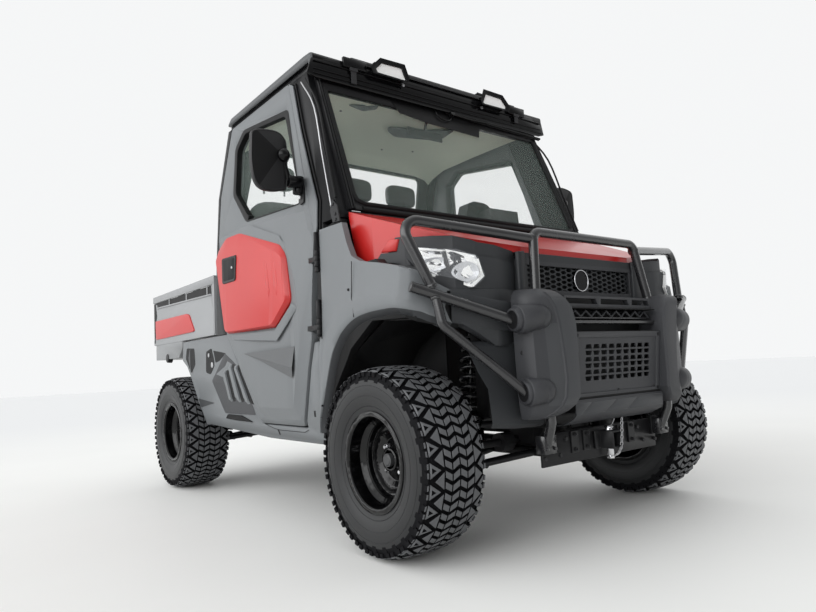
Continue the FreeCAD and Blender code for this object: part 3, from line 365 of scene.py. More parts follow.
def chevrons():
    """Lugs of one pitch that cross the crown: (outline, hole) in (share of half width, share of pitch)."""
    rows = []
    for column, middle in enumerate((-0.375, -0.125, 0.125, 0.375)):
        low, high = (middle - 0.112, middle + 0.112)[::(1, -1)[column % 2]]
        for start in (0.04, 0.54):
            rows.append(([(low, start), (high, start + 0.22), (high, start + 0.54), (low, start + 0.32)], None))
    for flip in (-1, 1):
        rows.append(([(flip * 0.515, 0.08), (flip * 0.515, 0.92), (flip * 0.80, 0.50)], None))
        rows.append(([(flip * 0.90, 0.60), (flip * 0.90, 1.40), (flip * 0.60, 1.00)],
                     [(flip * 0.86, 0.86), (flip * 0.86, 1.14), (flip * 0.75, 1.00)]))
        rows.append(([(flip * 0.925, 0.64), (flip * 0.98, 0.66), (flip * 0.98, 0.94), (flip * 0.925, 0.92)], None))
        rows.append(([(flip * 0.925, 1.08), (flip * 0.98, 1.06), (flip * 0.98, 1.34), (flip * 0.925, 1.36)], None))
    return rows


def lug_block(bm, outline, hole, half, turn):
    """One lug: its foot is sunk in the carcass and its flanks slope. A hole leaves a ring with a sunken floor."""
    def ring(points, lift, draw):
        made = []
        for s, p in shrunk(points, draw):
            radius = min(carcass_radius(min(abs(s), 0.93)) + lift, TYRE_RADIUS - LUG_CLEARANCE)
            a = 2 * math.pi * (turn + p) / PITCHES
            made.append(bm.verts.new((s * half, radius * math.cos(a), radius * math.sin(a))))
        return made
    rings = [ring(outline, -0.003, 1.03), ring(outline, 0.0120, 0.94), ring(outline, 0.0128, 0.88)]
    if hole:
        rings += [ring(hole, 0.0128, 1.0), ring(hole, 0.0045, 0.8)]
    # The flanks and tops take the light lug rubber, the foot and the hole floor the near-black tyre rubber: painted
    # light on the blocks, painted shade in the grooves.
    for level, (low, high) in enumerate(zip(rings, rings[1:])):
        for face in bridge(bm, low, high):
            face.material_index = TYRE_PARTS.index("lug" if level in (1, 2) else "tyre")
    bm.faces.new(rings[-1]).material_index = TYRE_PARTS.index("tyre" if hole else "lug")


def tyre_mesh():
    """The tyre about the origin, with lugs across the crown and over the shoulders."""
    half = (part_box("tyre_front_left")[1].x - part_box("tyre_front_left")[0].x) / 2 - 0.001
    outer = [(s * half, r / 1000) for s, r in CARCASS]
    profile = outer + [(-a, r) for a, r in reversed(outer[:-1])]
    inner = [(-0.78 * half, 0.154), (-0.86 * half, 0.2), (-0.8 * half, 0.26), (0, 0.285), (0.8 * half, 0.26),
             (0.86 * half, 0.2), (0.78 * half, 0.154)]
    verts, faces = revolve(profile + inner, 120)
    bm = bmesh.new()
    made = [bm.verts.new(v) for v in verts]
    for face in faces:
        bm.faces.new([made[i] for i in face])
    for face in bm.faces:
        middle = face.calc_center_median()
        face.material_index = int(math.hypot(middle.y, middle.z) < SIDEWALL_RADIUS)
    for turn in range(PITCHES):
        for outline, hole in chevrons():
            lug_block(bm, outline, hole, half, turn)
        for flip in (1, -1):
            ring = []
            for out in (0.0, 1.0):
                for pitch, radius in ((0.30, 0.268), (0.62, 0.268), (0.74, 0.298), (0.24, 0.298)):
                    a = 2 * math.pi * (turn + pitch) / PITCHES
                    x = flip * half * ((0.985 if radius < 0.28 else 0.93) - 0.04 + 0.035 * out)
                    ring.append(bm.verts.new((x, radius * math.cos(a), radius * math.sin(a))))
            bm.faces.new(ring[4:])
            bridge(bm, ring[:4], ring[4:])
    for radius, share in ((0.187, 0.925), (0.222, 0.992), (0.256, 0.994)):
        for flip in (1, -1):
            x = flip * half * share
            loop = [[bm.verts.new((x + flip * o, r * math.cos(a), r * math.sin(a)))
                     for o, r in ((-0.002, radius - 0.0022), (0.0008, radius), (-0.002, radius + 0.0022))]
                    for a in angles(96)]
            for a, b in zip(loop, loop[1:] + loop[:1]):
                for k in (0, 1):
                    bm.faces.new((a[k], a[k + 1], b[k + 1], b[k])).material_index = 1
    bmesh.ops.recalc_face_normals(bm, faces=bm.faces)
    mesh = bpy.data.meshes.new("tyre")
    bm.to_mesh(mesh)
    bm.free()
    return mesh


BOLT_CIRCLE = 0.055
RIM_HIGHLIGHT_RADIUS = 0.1575


def build_wheels():
    template = tyre_mesh()
    for axle in ("front", "rear"):
        def wheel(side, sign):
            node = f"tyre_{axle}_{side}"
            mesh = template.copy()
            turn = Matrix.Rotation(0.11 * (1 + sign) + (0.3 if axle == "rear" else 0), 4, "X")
            mesh.transform(Matrix.Translation(centre_of(node)) @ Matrix.Diagonal((sign, 1, 1, 1)) @ turn)
            if sign < 0:
                mesh.flip_normals()
            tyre = add_piece(node + "_look", mesh, TYRE_PARTS[0], NODE_BODY[node])
            for part in TYRE_PARTS[1:]:
                tyre.data.materials.append(MATERIALS[part])
            sharpen(tyre.data, 30)
            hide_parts(node)
            rim = f"rim_{axle}_{side}"
            softened(rim, 0.0025, 2, angle=20)
            middle = centre_of(node)
            bm = bmesh.new()
            for a in (math.pi / 4 + i * math.pi / 2 for i in range(4)):
                spot = middle + Vector((sign * 0.002, BOLT_CIRCLE * math.cos(a), BOLT_CIRCLE * math.sin(a)))
                disc(bm, spot, (sign, 0, 0), 0.0115, 0.022, 6)
                disc(bm, spot + Vector((sign * 0.022, 0, 0)), (sign, 0, 0), 0.0095, 0.006, 16, 0.6)
                disc(bm, spot - Vector((sign * 0.002, 0, 0)), (sign, 0, 0), 0.0150, 0.006, 20)
            # A thin light grey ring on the rim's lip: a painted highlight on the gloss black rim.
            edge = [middle + Vector((sign * 0.0995, RIM_HIGHLIGHT_RADIUS * math.cos(a), RIM_HIGHLIGHT_RADIUS * math.sin(a)))
                    for a in angles(96)]
            bar(f"rim_edge_{axle}_{side}", edge, 0.0012, "bed_steel", NODE_BODY[rim], 8, cyclic=True)
            nuts = bmesh_piece(f"wheel_nuts_{axle}_{side}", bm, "chrome", NODE_BODY[rim])
            bm = bmesh.new()
            disc(bm, middle + Vector((sign * 0.034, 0, 0)), (sign, 0, 0), 0.023, 0.014, 40, 0.96)
            disc(bm, middle + Vector((sign * 0.048, 0, 0)), (sign, 0, 0), 0.020, 0.003, 40, 0.8)
            cap = bmesh_piece(f"hub_cap_{axle}_{side}", bm, "cap_grey", NODE_BODY[rim])
        both_sides(wheel)


build_wheels()


# ---------------------------------------------------------------- draped skins
def clipped(polygon, axis, value, keep_above):
    """The part of a flat polygon on one side of a line across an axis."""
    out = []
    for a, b in zip(polygon, polygon[1:] + polygon[:1]):
        inside_a = (a[axis] >= value) == keep_above or a[axis] == value
        inside_b = (b[axis] >= value) == keep_above or b[axis] == value
        if inside_a:
            out.append(a)
        if inside_a != inside_b:
            share = (value - a[axis]) / (b[axis] - a[axis])
            out.append(tuple(a[k] + (b[k] - a[k]) * share for k in (0, 1)))
    return out


def rounded(polygon, radius, steps=4):
    """The polygon with its corners rounded."""
    out = []
    count = len(polygon)
    for i in range(count):
        before, corner, after = (Vector(polygon[(i + k) % count]) for k in (-1, 0, 1))
        near, far = (before - corner), (after - corner)
        reach = min(radius, near.length * 0.45, far.length * 0.45)
        start, stop = corner + near.normalized() * reach, corner + far.normalized() * reach
        for k in range(steps + 1):
            t = k / steps
            out.append(tuple((1 - t) ** 2 * start + 2 * t * (1 - t) * corner + t ** 2 * stop))
    return out


def draped(name, polygon, axis, breaks, to_world, thickness, finish, bevel=0.0):
    """A sheet laid on a surface that is straight between breaks along one axis of the polygon. It grows by its
    thickness along the surface normal, outwards where the polygon is wound so."""
    bm = bmesh.new()
    cuts = [min(p[axis] for p in polygon) - 1] + sorted(breaks) + [max(p[axis] for p in polygon) + 1]
    for low, high in zip(cuts, cuts[1:]):
        strip = clipped(clipped(polygon, axis, low, True), axis, high, False)
        if len(strip) > 2 and max(p[axis] for p in strip) - min(p[axis] for p in strip) > 1e-3:
            bm.faces.new([bm.verts.new(to_world(*p)) for p in strip])
    bmesh.ops.remove_doubles(bm, verts=bm.verts, dist=1e-5)
    bmesh.ops.recalc_face_normals(bm, faces=bm.faces)
    piece = bmesh_piece(name, bm, finish)
    solid = piece.modifiers.new("sheet", "SOLIDIFY")
    solid.thickness = thickness
    solid.offset = 0
    apply_modifiers(piece)
    if bevel:
        bevelled(piece, bevel, 2)
    sharpen(piece.data)
    return piece


def interpolate(table, value):
    """The second column at a value of the first."""
    rows = sorted(table)
    if value <= rows[0][0]:
        return rows[0][1]
    for (a, u), (b, v) in zip(rows, rows[1:]):
        if value <= b:
            return u + (v - u) * (value - a) / (b - a)
    return rows[-1][1]


# ---------------------------------------------------------------- headlamps
LAMP_PLAN = [(362, -288), (470, -316), (560, -306), (620, -270), (690, -130), (700, -108)]
LENS = [(695, 1000), (692, 1030), (638, 1009), (565, 981), (536, 911), (579, 873), (663, 932)]
SURROUND = [(362, 900), (366, 873), (640, 873), (690, 1000), (696, 1034), (600, 985), (362, 968)]


def build_headlamps():
    def lamp(side, sign):
        def face(offset):
            return lambda x, z: at(sign * x, interpolate(LAMP_PLAN, x) + offset, z)
        breaks = [x for x, _ in LAMP_PLAN[1:-1]]
        surround = draped(f"lamp_surround_{side}", SURROUND, 0, breaks, face(8), 0.004, "fascia_plastic")
        lens = draped(f"lamp_lens_{side}", rounded(LENS, 8), 0, breaks, face(-9), 0.003, "lamp_lens")
        bm = bmesh.new()
        edge = [bm.verts.new(face(-6)(*p)) for p in shrunk(LENS, 0.97)]
        deep = [bm.verts.new(face(0)(*p)) for p in shrunk(LENS, 0.72)]
        bridge(bm, edge, deep)
        tip = bm.verts.new(face(1)(*middle_of(LENS)))
        for here, after in zip(deep, deep[1:] + deep[:1]):
            bm.faces.new((here, after, tip))
        bmesh.ops.subdivide_edges(bm, edges=bm.edges, cuts=3, use_grid_fill=True)
        rng = random.Random(7)
        for v in bm.verts:
            if not v.is_boundary:
                v.co.y += rng.uniform(-0.002, 0.004)
        bowl = bmesh_piece(f"lamp_bowl_{side}", bm, "lamp_silver")
        bowl.data.materials.append(MATERIALS["lamp_white"])
        bowl.data.materials.append(MATERIALS["cap_grey"])
        # Most facets of the silver bowl are painted white and a few dark grey: painted reflections in the reflector.
        for patch in bowl.data.polygons:
            patch.material_index = rng.choice((0, 1, 1, 1, 1, 2))
        strips = []
        routes = (([(668, 934), (581, 880), (545, 912), (563, 968)], 4, "lamp_white"),
                  ([(640, 1004), (634, 935)], 2.5, "cap_grey"),
                  ([(686, 1021), (638, 1002), (571, 975)], 2.5, "lamp_white"))
        for number, (route, width, finish) in enumerate(routes):
            bm = bmesh.new()
            for (x0, z0), (x1, z1) in zip(route, route[1:]):
                along = Vector((x1 - x0, z1 - z0)).normalized() * width
                outline = [(x0 - along.y, z0 + along.x), (x1 - along.y, z1 + along.x),
                           (x1 + along.y, z1 - along.x), (x0 + along.y, z0 - along.x)]
                plate(bm, [face(-7)(*p) for p in outline], (0, 0.012, 0))
            strips.append(bmesh_piece(f"lamp_strip{number}_{side}", bm, finish))
        bowls = bmesh.new()
        for x, z, wide in ((594, 928, 36), (656, 962, 25)):
            rim, deep = ([bowls.verts.new(face(back)(x + wide * a * math.cos(turn), z + wide * b * math.sin(turn)))
                          for turn in angles(20)] for back, a, b in ((-5, 1, 0.92), (5, 0.45, 0.4)))
            bridge(bowls, rim, deep)
            bowls.faces.new(deep)
        strips.append(bmesh_piece(f"lamp_projector_{side}", bowls, "lamp_silver"))
        return [surround, lens, bowl] + strips
    pieces = [p for side in both_sides(lamp) for p in side]
    for piece in pieces:
        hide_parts("headlamps")


# ---------------------------------------------------------------- grilles
def pierced(name, cells, thickness, to_world, finish):
    """A plate made of cells, each a pair of flat polygons with as many points: its outer edge and its hole."""
    bm = bmesh.new()
    for outer, hole in cells:
        rings = [[bm.verts.new(to_world(u, v, w)) for u, v in ring]
                 for w, ring in ((0, outer), (0, hole), (thickness, hole), (thickness, outer))]
        for near, far in zip(rings, rings[1:]):
            bridge(bm, near, far)
    bmesh.ops.remove_doubles(bm, verts=bm.verts, dist=1e-6)
    return bmesh_piece(name, bm, finish)


def frame_cells(low, high, hole_low, hole_high):
    """One cell: a rectangle with a rectangular hole."""
    def corners(a, b):
        return [(a[0], a[1]), (b[0], a[1]), (b[0], b[1]), (a[0], b[1])]
    return [(corners(low, high), corners(hole_low, hole_high))]


def build_upper_grille():
    pitch_x, pitch_z, wide, tall, bar_width = 31.2, 18.4, 41.6, 18.4, 5.2
    cells = []
    for column in range(-10, 11):
        for row in range(-3, 4):
            x, z = column * pitch_x, 922 + row * pitch_z + (pitch_z / 2 if column % 2 else 0)
            if not 868 < z < 978:
                continue
            def hexagon(w, h):
                return [(x - w / 2, z), (x - w / 4, z + h / 2), (x + w / 4, z + h / 2), (x + w / 2, z),
                        (x + w / 4, z - h / 2), (x - w / 4, z - h / 2)]
            cells.append((hexagon(wide, tall), hexagon(wide - bar_width * 1.6, tall - bar_width)))
    mesh = pierced("grille_mesh", cells, 7, lambda x, z, w: at(x, -284 + w, z), "fascia_plastic")
    bm = bmesh.new()
    block(bm, at(-312, -262, 866), at(312, -256, 978))
    back = bmesh_piece("grille_shade", bm, "seal")
    rim = bar("badge_ring", [at(40.5 * math.cos(a), -291, 922 + 40.5 * math.sin(a)) for a in angles(48)], 0.0028,
              "chrome", cyclic=True)
    bm = bmesh.new()
    disc(bm, at(0, -276, 922), (0, -1, 0), 0.041, 0.0135, 48, 0.97)
    face = bmesh_piece("badge_face", bm, "gloss_black")
    border = pierced("grille_border", frame_cells((-326, 862), (326, 982), (-308, 878), (308, 966)), 8,
                     lambda x, z, w: at(x, -296 + w, z), "dark_plastic")
    bevelled(border, 0.002)
    bm = bmesh.new()
    block(bm, at(-326, -294, 976), at(326, -268, 1010))
    header = bmesh_piece("grille_header", bm, "fascia_plastic")
    bevelled(header, 0.003)
    for piece in (mesh, back, rim, face):
        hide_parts("upper_grille")


def build_lower_grille():
    """A pressed plate with rows of slots, each row turned over from the last."""
    def slope(x, z, w):
        return at(x, -438 + (716 - z) * 22 / 221 + w, z)
    cells = []
    left, right, low, high = -198, 198, 546, 678
    columns, rows = 9, 6
    step_x, step_z = (right - left) / columns, (high - low) / rows
    for row in range(rows):
        for column in range(columns):
            x, z = left + (column + 0.5) * step_x, low + (row + 0.5) * step_z
            turn = 1 if row % 2 else -1
            outer = [(x - step_x / 2, z - step_z / 2), (x + step_x / 2, z - step_z / 2),
                     (x + step_x / 2, z + step_z / 2), (x - step_x / 2, z + step_z / 2)]
            wide, narrow, half = 18.5, 13.5, 7.6
            bottom, top = (wide, narrow) if turn > 0 else (narrow, wide)
            hole = [(x - bottom, z - half), (x + bottom, z - half), (x + top, z + half), (x - top, z + half)]
            cells.append((outer, hole))
    cells += frame_cells((-240, 500), (240, 712), (left, low), (right, high))
    mesh = pierced("chin_grille", cells, 5, slope, "dark_plastic")
    bm = bmesh.new()
    block(bm, at(-245, -372, 490), at(245, -366, 720))
    shade = bmesh_piece("chin_grille_shade", bm, "seal")
    bm = bmesh.new()
    for x, z in ((0, 703), (0, 509), (-224, 703), (224, 703), (-224, 509), (224, 509)):
        disc(bm, slope(x, z, 0), (0, -1, 0), 0.0058, 0.0035, 14, 0.8)
    screws = bmesh_piece("chin_grille_screws", bm, "frame_black")
    for piece in (mesh, shade, screws):
        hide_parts("lower_grille")


build_headlamps()
build_upper_grille()
build_lower_grille()


# ---------------------------------------------------------------- doors and body sides
SIDE_SECTION = [(300, 88), (330, 62), (430, 23), (640, 5), (900, 0), (1200, 6), (1330, 14), (1900, 46), (2000, 52)]


def skin(sign, proud=0.0):
    """Places a (station, height) point on the body side, proud of it by some millimetres."""
    return lambda behind, z: at(sign * (768 - interpolate(SIDE_SECTION, z) + proud), behind, z)


def onto(sign, proud, outline):
    """The outline's (station, height) points on the body side."""
    return [skin(sign, proud)(*p) for p in outline]


def raised(sign, outline, *levels):
    """Loops of an outline on the body side, one for each (millimetres proud, share of its size)."""
    return [onto(sign, proud, shrunk(outline, share)) for proud, share in levels]


def rings(name, loops, finish, body="chassis", cap=True, bevel=0.0):
    """A surface through loops of as many points each; the last one is closed by a face."""
    bm = bmesh.new()
    made = [[bm.verts.new(p) for p in loop] for loop in loops]
    for low, high in zip(made, made[1:]):
        bridge(bm, low, high)
    if cap:
        bmesh.ops.triangulate(bm, faces=[bm.faces.new(made[-1])])
    piece = bmesh_piece(name, bm, finish, body)
    if bevel:
        bevelled(piece, bevel, 3)
    sharpen(piece.data, 34)
    return piece


def resampled(polygon, count):
    """The closed polygon as evenly spaced points, its own corners kept."""
    share = count // len(polygon)
    extra = count - share * len(polygon)
    out = []
    for i, (a, b) in enumerate(zip(polygon, polygon[1:] + polygon[:1])):
        steps = share + (1 if i < extra else 0)
        out += [(a[0] + (b[0] - a[0]) * k / steps, a[1] + (b[1] - a[1]) * k / steps) for k in range(steps)]
    return out


WINDOW = [(508, 1322), (640, 1775), (1117, 1838), (1215, 1770), (1225, 1530), (1055, 1360)]
WINDOW_MIDDLE = (870, 1590)
RED_OUTER = [(718, 825), (563, 925), (602, 1120), (660, 1176), (1095, 1311), (1262, 1316), (1366, 1262), (1240, 832)]
RED_INNER = [(724, 836), (581, 932), (616, 1116), (680, 1150), (1072, 1232), (1240, 1240), (1346, 1224), (1232, 842)]
DOOR_OUTER = [(579, 409), (446, 752), (404, 1172), (470, 1300), (1062, 1346), (1376, 1330), (1265, 842), (975, 409)]
DOOR_INNER = [(607, 477), (506, 756), (491, 809), (543, 1034), (621, 1168), (672, 1218), (987, 1330), (1350, 1330),
              (1258, 835), (948, 477)]
HANDLE = [(1250, 1080), (1256, 1210), (1080, 1202), (1092, 1078)]
HINGE_SKIN, HINGE_FACE = 0.7634, 0.7645  # how far out the hinge leaves of a door lie
HINGE_LEAVES = ((0.78, 0.815, 0.444), (1.045, 1.08, 0.417))  # bottom, top and reach behind the front axle
LEAF_AREA = 0.004


def build_door(side, sign):
    body = f"door_{side}"
    look = softened(body, 0.006)
    look.data.materials.append(MATERIALS["cab_black"])
    # The outer ends of the two hinge leaves are drawn forward, clear of the panel, and their faces are black.
    for v in look.data.vertices:
        if abs(v.co.x) > HINGE_SKIN and v.co.y < FRONT_AXLE + 0.48:
            for low, high, reach in HINGE_LEAVES:
                if low < v.co.z < high:
                    v.co.y = min(v.co.y, FRONT_AXLE + reach)
    for face in look.data.polygons:
        if abs(face.center.x) > HINGE_FACE and face.center.y < FRONT_AXLE + 0.45 and face.area < LEAF_AREA:
            face.material_index = 1
    outer, inner = rounded(RED_OUTER, 26, 5), rounded(RED_INNER, 26, 5)
    proud = rings(f"door_bulge_{side}", [onto(sign, -2, outer), onto(sign, 19, shrunk(outer, 0.996)),
                                         onto(sign, 36, inner)], "red_plastic", body, bevel=0.004)
    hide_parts(f"door_panel_{side}")
    # The lower panel stands proud, with a wide slope to its front and lower edges.
    panel = rings(f"door_plateau_{side}", [onto(sign, -1, resampled(DOOR_OUTER, 64)),
                                           onto(sign, 15, resampled(DOOR_INNER, 64)),
                                           onto(sign, 17.5, shrunk(resampled(DOOR_INNER, 64), 0.985))],
                  "grey_plastic", body)
    # A band under the bulge follows its edge, and one long facet crosses the panel, painted a darker grey as painted
    # shade on its downward face.
    echo = [(524, 894), (530, 880), (712, 766), (1180, 800), (1190, 822), (722, 812), (556, 912)]
    band = rings(f"door_band_{side}", raised(sign, echo, (17, 1), (19.5, 0.97)),
                 "grey_plastic", body)
    points = [(17.6, 1061, 728), (29, 565, 648), (17.6, 591, 606), (17.6, 905, 694), (17.6, 556, 735)]
    facet = mesh_object(f"door_facet_{side}", [skin(sign, proud)(s, z) for proud, s, z in points],
                        [(0, 1, 3), (3, 1, 2), (0, 4, 1)], "lit_and_shaded_grey", body)
    corner = [(640, 1893), (600, 1870), (521, 1639), (419, 1394), (376, 1300), (372, 1196), (380, 1174), (404, 1174),
              (470, 1394), (552, 1639)]
    edge = rings(f"door_corner_{side}", [onto(sign, low, corner) for low in (-5, 0.5)], "grey_plastic", body,
                 bevel=0.0015)
    # Window seal, wide behind and above.
    ring = rounded(WINDOW, 26, 6)
    wide = [(s + (3 if s > 900 else -0.9), z + (3 if z > 1600 else -2)) for s, z in ring]
    narrow = []
    for s, z in ring:
        pull = 30 if s > 1040 or z > 1700 else 7
        away = math.hypot(WINDOW_MIDDLE[0] - s, WINDOW_MIDDLE[1] - z)
        narrow.append((s + (WINDOW_MIDDLE[0] - s) / away * pull, z + (WINDOW_MIDDLE[1] - z) / away * pull))
    seal = rings(f"window_seal_{side}", [onto(sign, -26, wide), onto(sign, 1.5, wide),
                                         onto(sign, 1.5, narrow), onto(sign, -26, narrow)],
                 "seal", body, cap=False, bevel=0.0012)
    # Handle: a dark frame round a recess, with its paddle.
    frame_ring = rounded(HANDLE, 14, 4)
    rim = rings(f"handle_frame_{side}", raised(sign, frame_ring, (34, 1), (39.5, 0.97), (39, 0.86), (36.6, 0.80)),
                "mirror_shell", body)
    well = rings(f"handle_well_{side}", raised(sign, frame_ring, (36.4, 0.9), (36.9, 0.84)), "seal", body)
    foot = rounded([(1186, 1094), (1190, 1196), (1108, 1192), (1114, 1090)], 8)
    face = rounded([(1176, 1100), (1179, 1188), (1120, 1184), (1125, 1098)], 8)
    paddle = rings(f"handle_paddle_{side}", [onto(sign, 37, foot), onto(sign, 42, face)], "soft_black", body)
    lock = bmesh.new()
    disc(lock, skin(sign, 41)(1122, 1146), (sign, 0, 0), 0.007, 0.003, 20, 0.9)
    bmesh_piece(f"handle_lock_{side}", lock, "chrome", body)
    # Two slanted flutes stand on the bulge.
    for number, (top, low) in enumerate((((764, 1128), (738, 972)), ((684, 1116), (660, 966)))):
        (s1, z1), (s0, z0) = top, low
        wide = rounded([(s1 + 26, z1), (s1 - 8, z1 - 12), (s0 - 8, z0 + 8), (s0 + 4, z0 - 16), (s0 + 22, z0 + 30)], 6,
                       3)
        narrow = shrunk(wide, 0.62, (s0 + 18, (z1 + z0) / 2))
        flute = rings(f"door_flute{number}_{side}", [onto(sign, 35.5, wide), onto(sign, 40, narrow)], "red_plastic",
                      body)


def build_cab_sides():
    def one(side, sign):
        # Rubber strip down the front edge of the door opening.
        strip = rings(f"hinge_strip_{side}", [
            onto(sign, proud, ((392, 744), (352, 744), (336, 1150), (352, 1176), (388, 1172)))
            for proud in (-46, -6)], "seal")
        # Rubber along the front pillar and round the door.
        edge = [(368, 1180), (366, 1300), (409, 1398), (512, 1643), (596, 1878), (646, 1899), (1268, 1899)]
        line = bar(f"door_rubber_{side}", onto(sign, -12, edge), 0.005, "seal")
    both_sides(one)


def build_vents():
    """Ribbed vent behind each door with the recess round it, and the step pocket under it."""
    def vent(side, sign):
        recess = [(1340, 742), (1536, 606), (1400, 440), (1030, 440), (1222, 690)]
        floor = [(1318, 716), (1392, 600), (1316, 470), (1040, 462), (1208, 684)]
        # The recess is dark plastic: painted shade of a deep recess.
        hollow = rings(f"vent_recess_{side}", [onto(sign, -3, rounded(recess, 12)),
                                               onto(sign, -2.5, rounded(shrunk(recess, 0.985), 12)),
                                               onto(sign, -3.4, rounded(floor, 10))], "dark_plastic")
        ribs = ((1352, 655, 1298, 498), (1276, 684, 1196, 496), (1212, 676, 1094, 488))
        for number, (s1, z1, s0, z0) in enumerate(ribs):
            rail = [(s1 + 17, z1), (s1 - 15, z1 + 4), (s0 - 15, z0 + 4), (s0 + 17, z0)]
            # Each rib also gets a flat dark copy 34 mm ahead of it: a painted shadow of the rib.
            for part, (finish, proud, shift) in enumerate((("grey_plastic", 7, 0), ("seal", 0.5, -34))):
                ring = rounded([(p[0] + shift, p[1]) for p in rail], 8)
                piece = rings(f"vent_rib{number}{part}_{side}", raised(sign, ring, (-4, 1), (-2.4 + proud, 0.86)),
                              finish)
        pocket = rounded([(1402, 414), (1356, 436), (1186, 434), (1078, 405), (1271, 407)], 10)
        step = rings(f"step_pocket_{side}", raised(sign, pocket, (-2, 1), (3, 0.96), (1, 0.9)), "seal")
    both_sides(vent)


build_cab_sides()
build_vents()
both_sides(build_door)


# ---------------------------------------------------------------- front corners
FENDER_PLAN = [(-262, 643), (-240, 722), (-215, 777), (-180, 802), (0, 799), (200, 777), (400, 770)]
# Columns of the fender skin, from behind the wheel arch to the front: (station, height) on the arch's lip, the crease
# and the top edge.
FENDER_COLUMNS = [
    ((384, 392), (385, 394), (386, 396)), ((379, 459), (383, 470), (386, 480)),
    ((326, 586), (360, 640), (384, 700)), ((277, 690), (326, 762), (343, 860)),
    ((219, 754), (251, 831), (343, 1040)), ((175, 780), (215, 849), (343, 1176)),
    ((135, 796), (169, 863), (176, 1172)), ((108, 804), (132, 870), (148, 1093)),
    ((80, 810), (98, 875), (119, 1037)), ((45, 815), (57, 877), (66, 1010)),
    ((-10, 819), (-10, 877), (8, 997)), ((-63, 821), (-64, 875), (-56, 984)),
    ((-156, 820), (-130, 868), (-120, 968)), ((-218, 806), (-187, 851), (-170, 955)),
    ((-240, 789), (-225, 836), (-212, 936)), ((-261, 762), (-256, 815), (-254, 868)),
]


def smooth_line(points, steps=5):
    """Catmull-Rom points through a line."""
    rows = [Vector(p) for p in points]
    rows = [rows[0] * 2 - rows[1]] + rows + [rows[-1] * 2 - rows[-2]]
    out = []
    for a, b, c, d in zip(rows, rows[1:], rows[2:], rows[3:]):
        for k in range(steps):
            t = k / steps
            out.append(0.5 * (2 * b + (c - a) * t + (2 * a - 5 * b + 4 * c - d) * t * t
                              + (3 * b - a - 3 * c + d) * t ** 3))
    return out + [rows[-2]]


def lofted(name, rows, finish, thickness=0.0, smooth=40):
    """A sheet through rows of as many points each."""
    piece = mesh_object(name, [p for row in rows for p in row], sheet_faces(len(rows), len(rows[0])), finish)
    if thickness:
        solid = piece.modifiers.new("sheet", "SOLIDIFY")
        solid.thickness = thickness
        apply_modifiers(piece)
    sharpen(piece.data, smooth)
    return piece


def bent(points, radius, steps=6):
    """A path with its corners rounded by tangent arcs."""
    out = [points[0]]
    for before, corner, after in zip(points, points[1:], points[2:]):
        inward, outward = (before - corner).normalized(), (after - corner).normalized()
        half = inward.angle(outward) / 2
        start, stop = (corner + way * (radius / math.tan(half)) for way in (inward, outward))
        centre = corner + (inward + outward).normalized() * (radius / math.sin(half))
        for k in range(steps + 1):
            out.append(centre + (start.lerp(stop, k / steps) - centre).normalized() * radius)
    return out + [points[-1]]


def fender_point(sign, station, height, inset):
    return at(sign * (interpolate(FENDER_PLAN, station) - inset), station, height)


def build_fenders():
    def fender(side, sign):
        lip = smooth_line([c[0] for c in FENDER_COLUMNS])
        crease = smooth_line([c[1] for c in FENDER_COLUMNS])
        top = [Vector(c[2]) for c in FENDER_COLUMNS]
        top = [a.lerp(b, k / 5) for a, b in zip(top, top[1:]) for k in range(5)] + [top[-1]]
        rows = []
        rolled = []
        for p in lip:
            reach = Vector((p.x, p.y - 318))
            rolled.append(Vector((0, 318)) + reach.normalized() * (reach.length - 24))
        for line, inset in ((rolled, 44), (rolled, 26), (lip, 4), (lip, 1)):
            rows.append([fender_point(sign, p.x, p.y + (3 if inset == 1 else 0), inset) for p in line])
        for share, inset in ((0.3, -2), (0.85, -3), (1.0, -1.5)):
            rows.append([fender_point(sign, a.x + (b.x - a.x) * share, a.y + (b.y - a.y) * share, inset)
                         for a, b in zip(lip, crease)])
        lean = [(-262, 1.0), (60, 1.0), (170, 0.35), (260, 0.0), (400, 0.0)]
        for share, near, far in ((0.08, 1, 0), (0.5, 2, 7), (1.0, 3, 17), (1.0, 26, 20)):
            rows.append([fender_point(sign, a.x + (b.x - a.x) * share, a.y + (b.y - a.y) * share,
                                      near + far * interpolate(lean, b.x)) for a, b in zip(crease, top)])
        skin_piece = lofted(f"fender_skin_{side}", rows[2:], "grey_plastic", smooth=50)
        # The arch's rolled lip is a darker plastic: partly its own colour, partly painted shade under the arch.
        edge = lofted(f"arch_lip_{side}", rows[:3], "fascia_plastic", smooth=60)
        seam = [(100, 1013), (100, 905), (104, 880), (94, 866), (92, 812)]
        line = bar(f"fender_seam_{side}", [fender_point(sign, s, z, 4 if z > 1000 else -1.2) for s, z in seam],
                   0.0014, "seal", sides=8)
        low_seam = bar(f"foot_seam_{side}", [fender_point(sign, s, 452, -0.6) for s in (385, 372)], 0.0012, "seal",
                       sides=8)
        bm = bmesh.new()
        disc(bm, fender_point(sign, 128, 914, 4), (sign, 0, 0), 0.005, 0.006, 16, 0.9)
        disc(bm, fender_point(sign, 366, 497, 2), (sign, 0, 0), 0.004, 0.005, 16, 0.9)
        bmesh_piece(f"fender_plugs_{side}", bm, "seal")
    both_sides(fender)
    # What is left of the CAD fenders stands for the wheel house behind the skins, in near-black seal: partly its black
    # liner, partly painted shade under the arches.
    for v in softened("front_fenders", 0.004, 2, "seal").data.vertices:
        if abs(v.co.x) > 0.64:
            v.co.x -= math.copysign(0.022, v.co.x)


SHELF_PLAN = [(345, -268), (470, -296), (560, -285), (612, -250), (668, -124), (692, -92), (712, 60), (722, 214)]
SHELF = [(345, 862), (640, 862), (690, 925), (712, 990), (719, 1012), (719, 1028), (715, 1007), (709, 1003),
         (704, 1030), (698, 1078), (690, 1072), (640, 1062), (540, 1030), (345, 1014)]


SHELF_REACH = 0.694


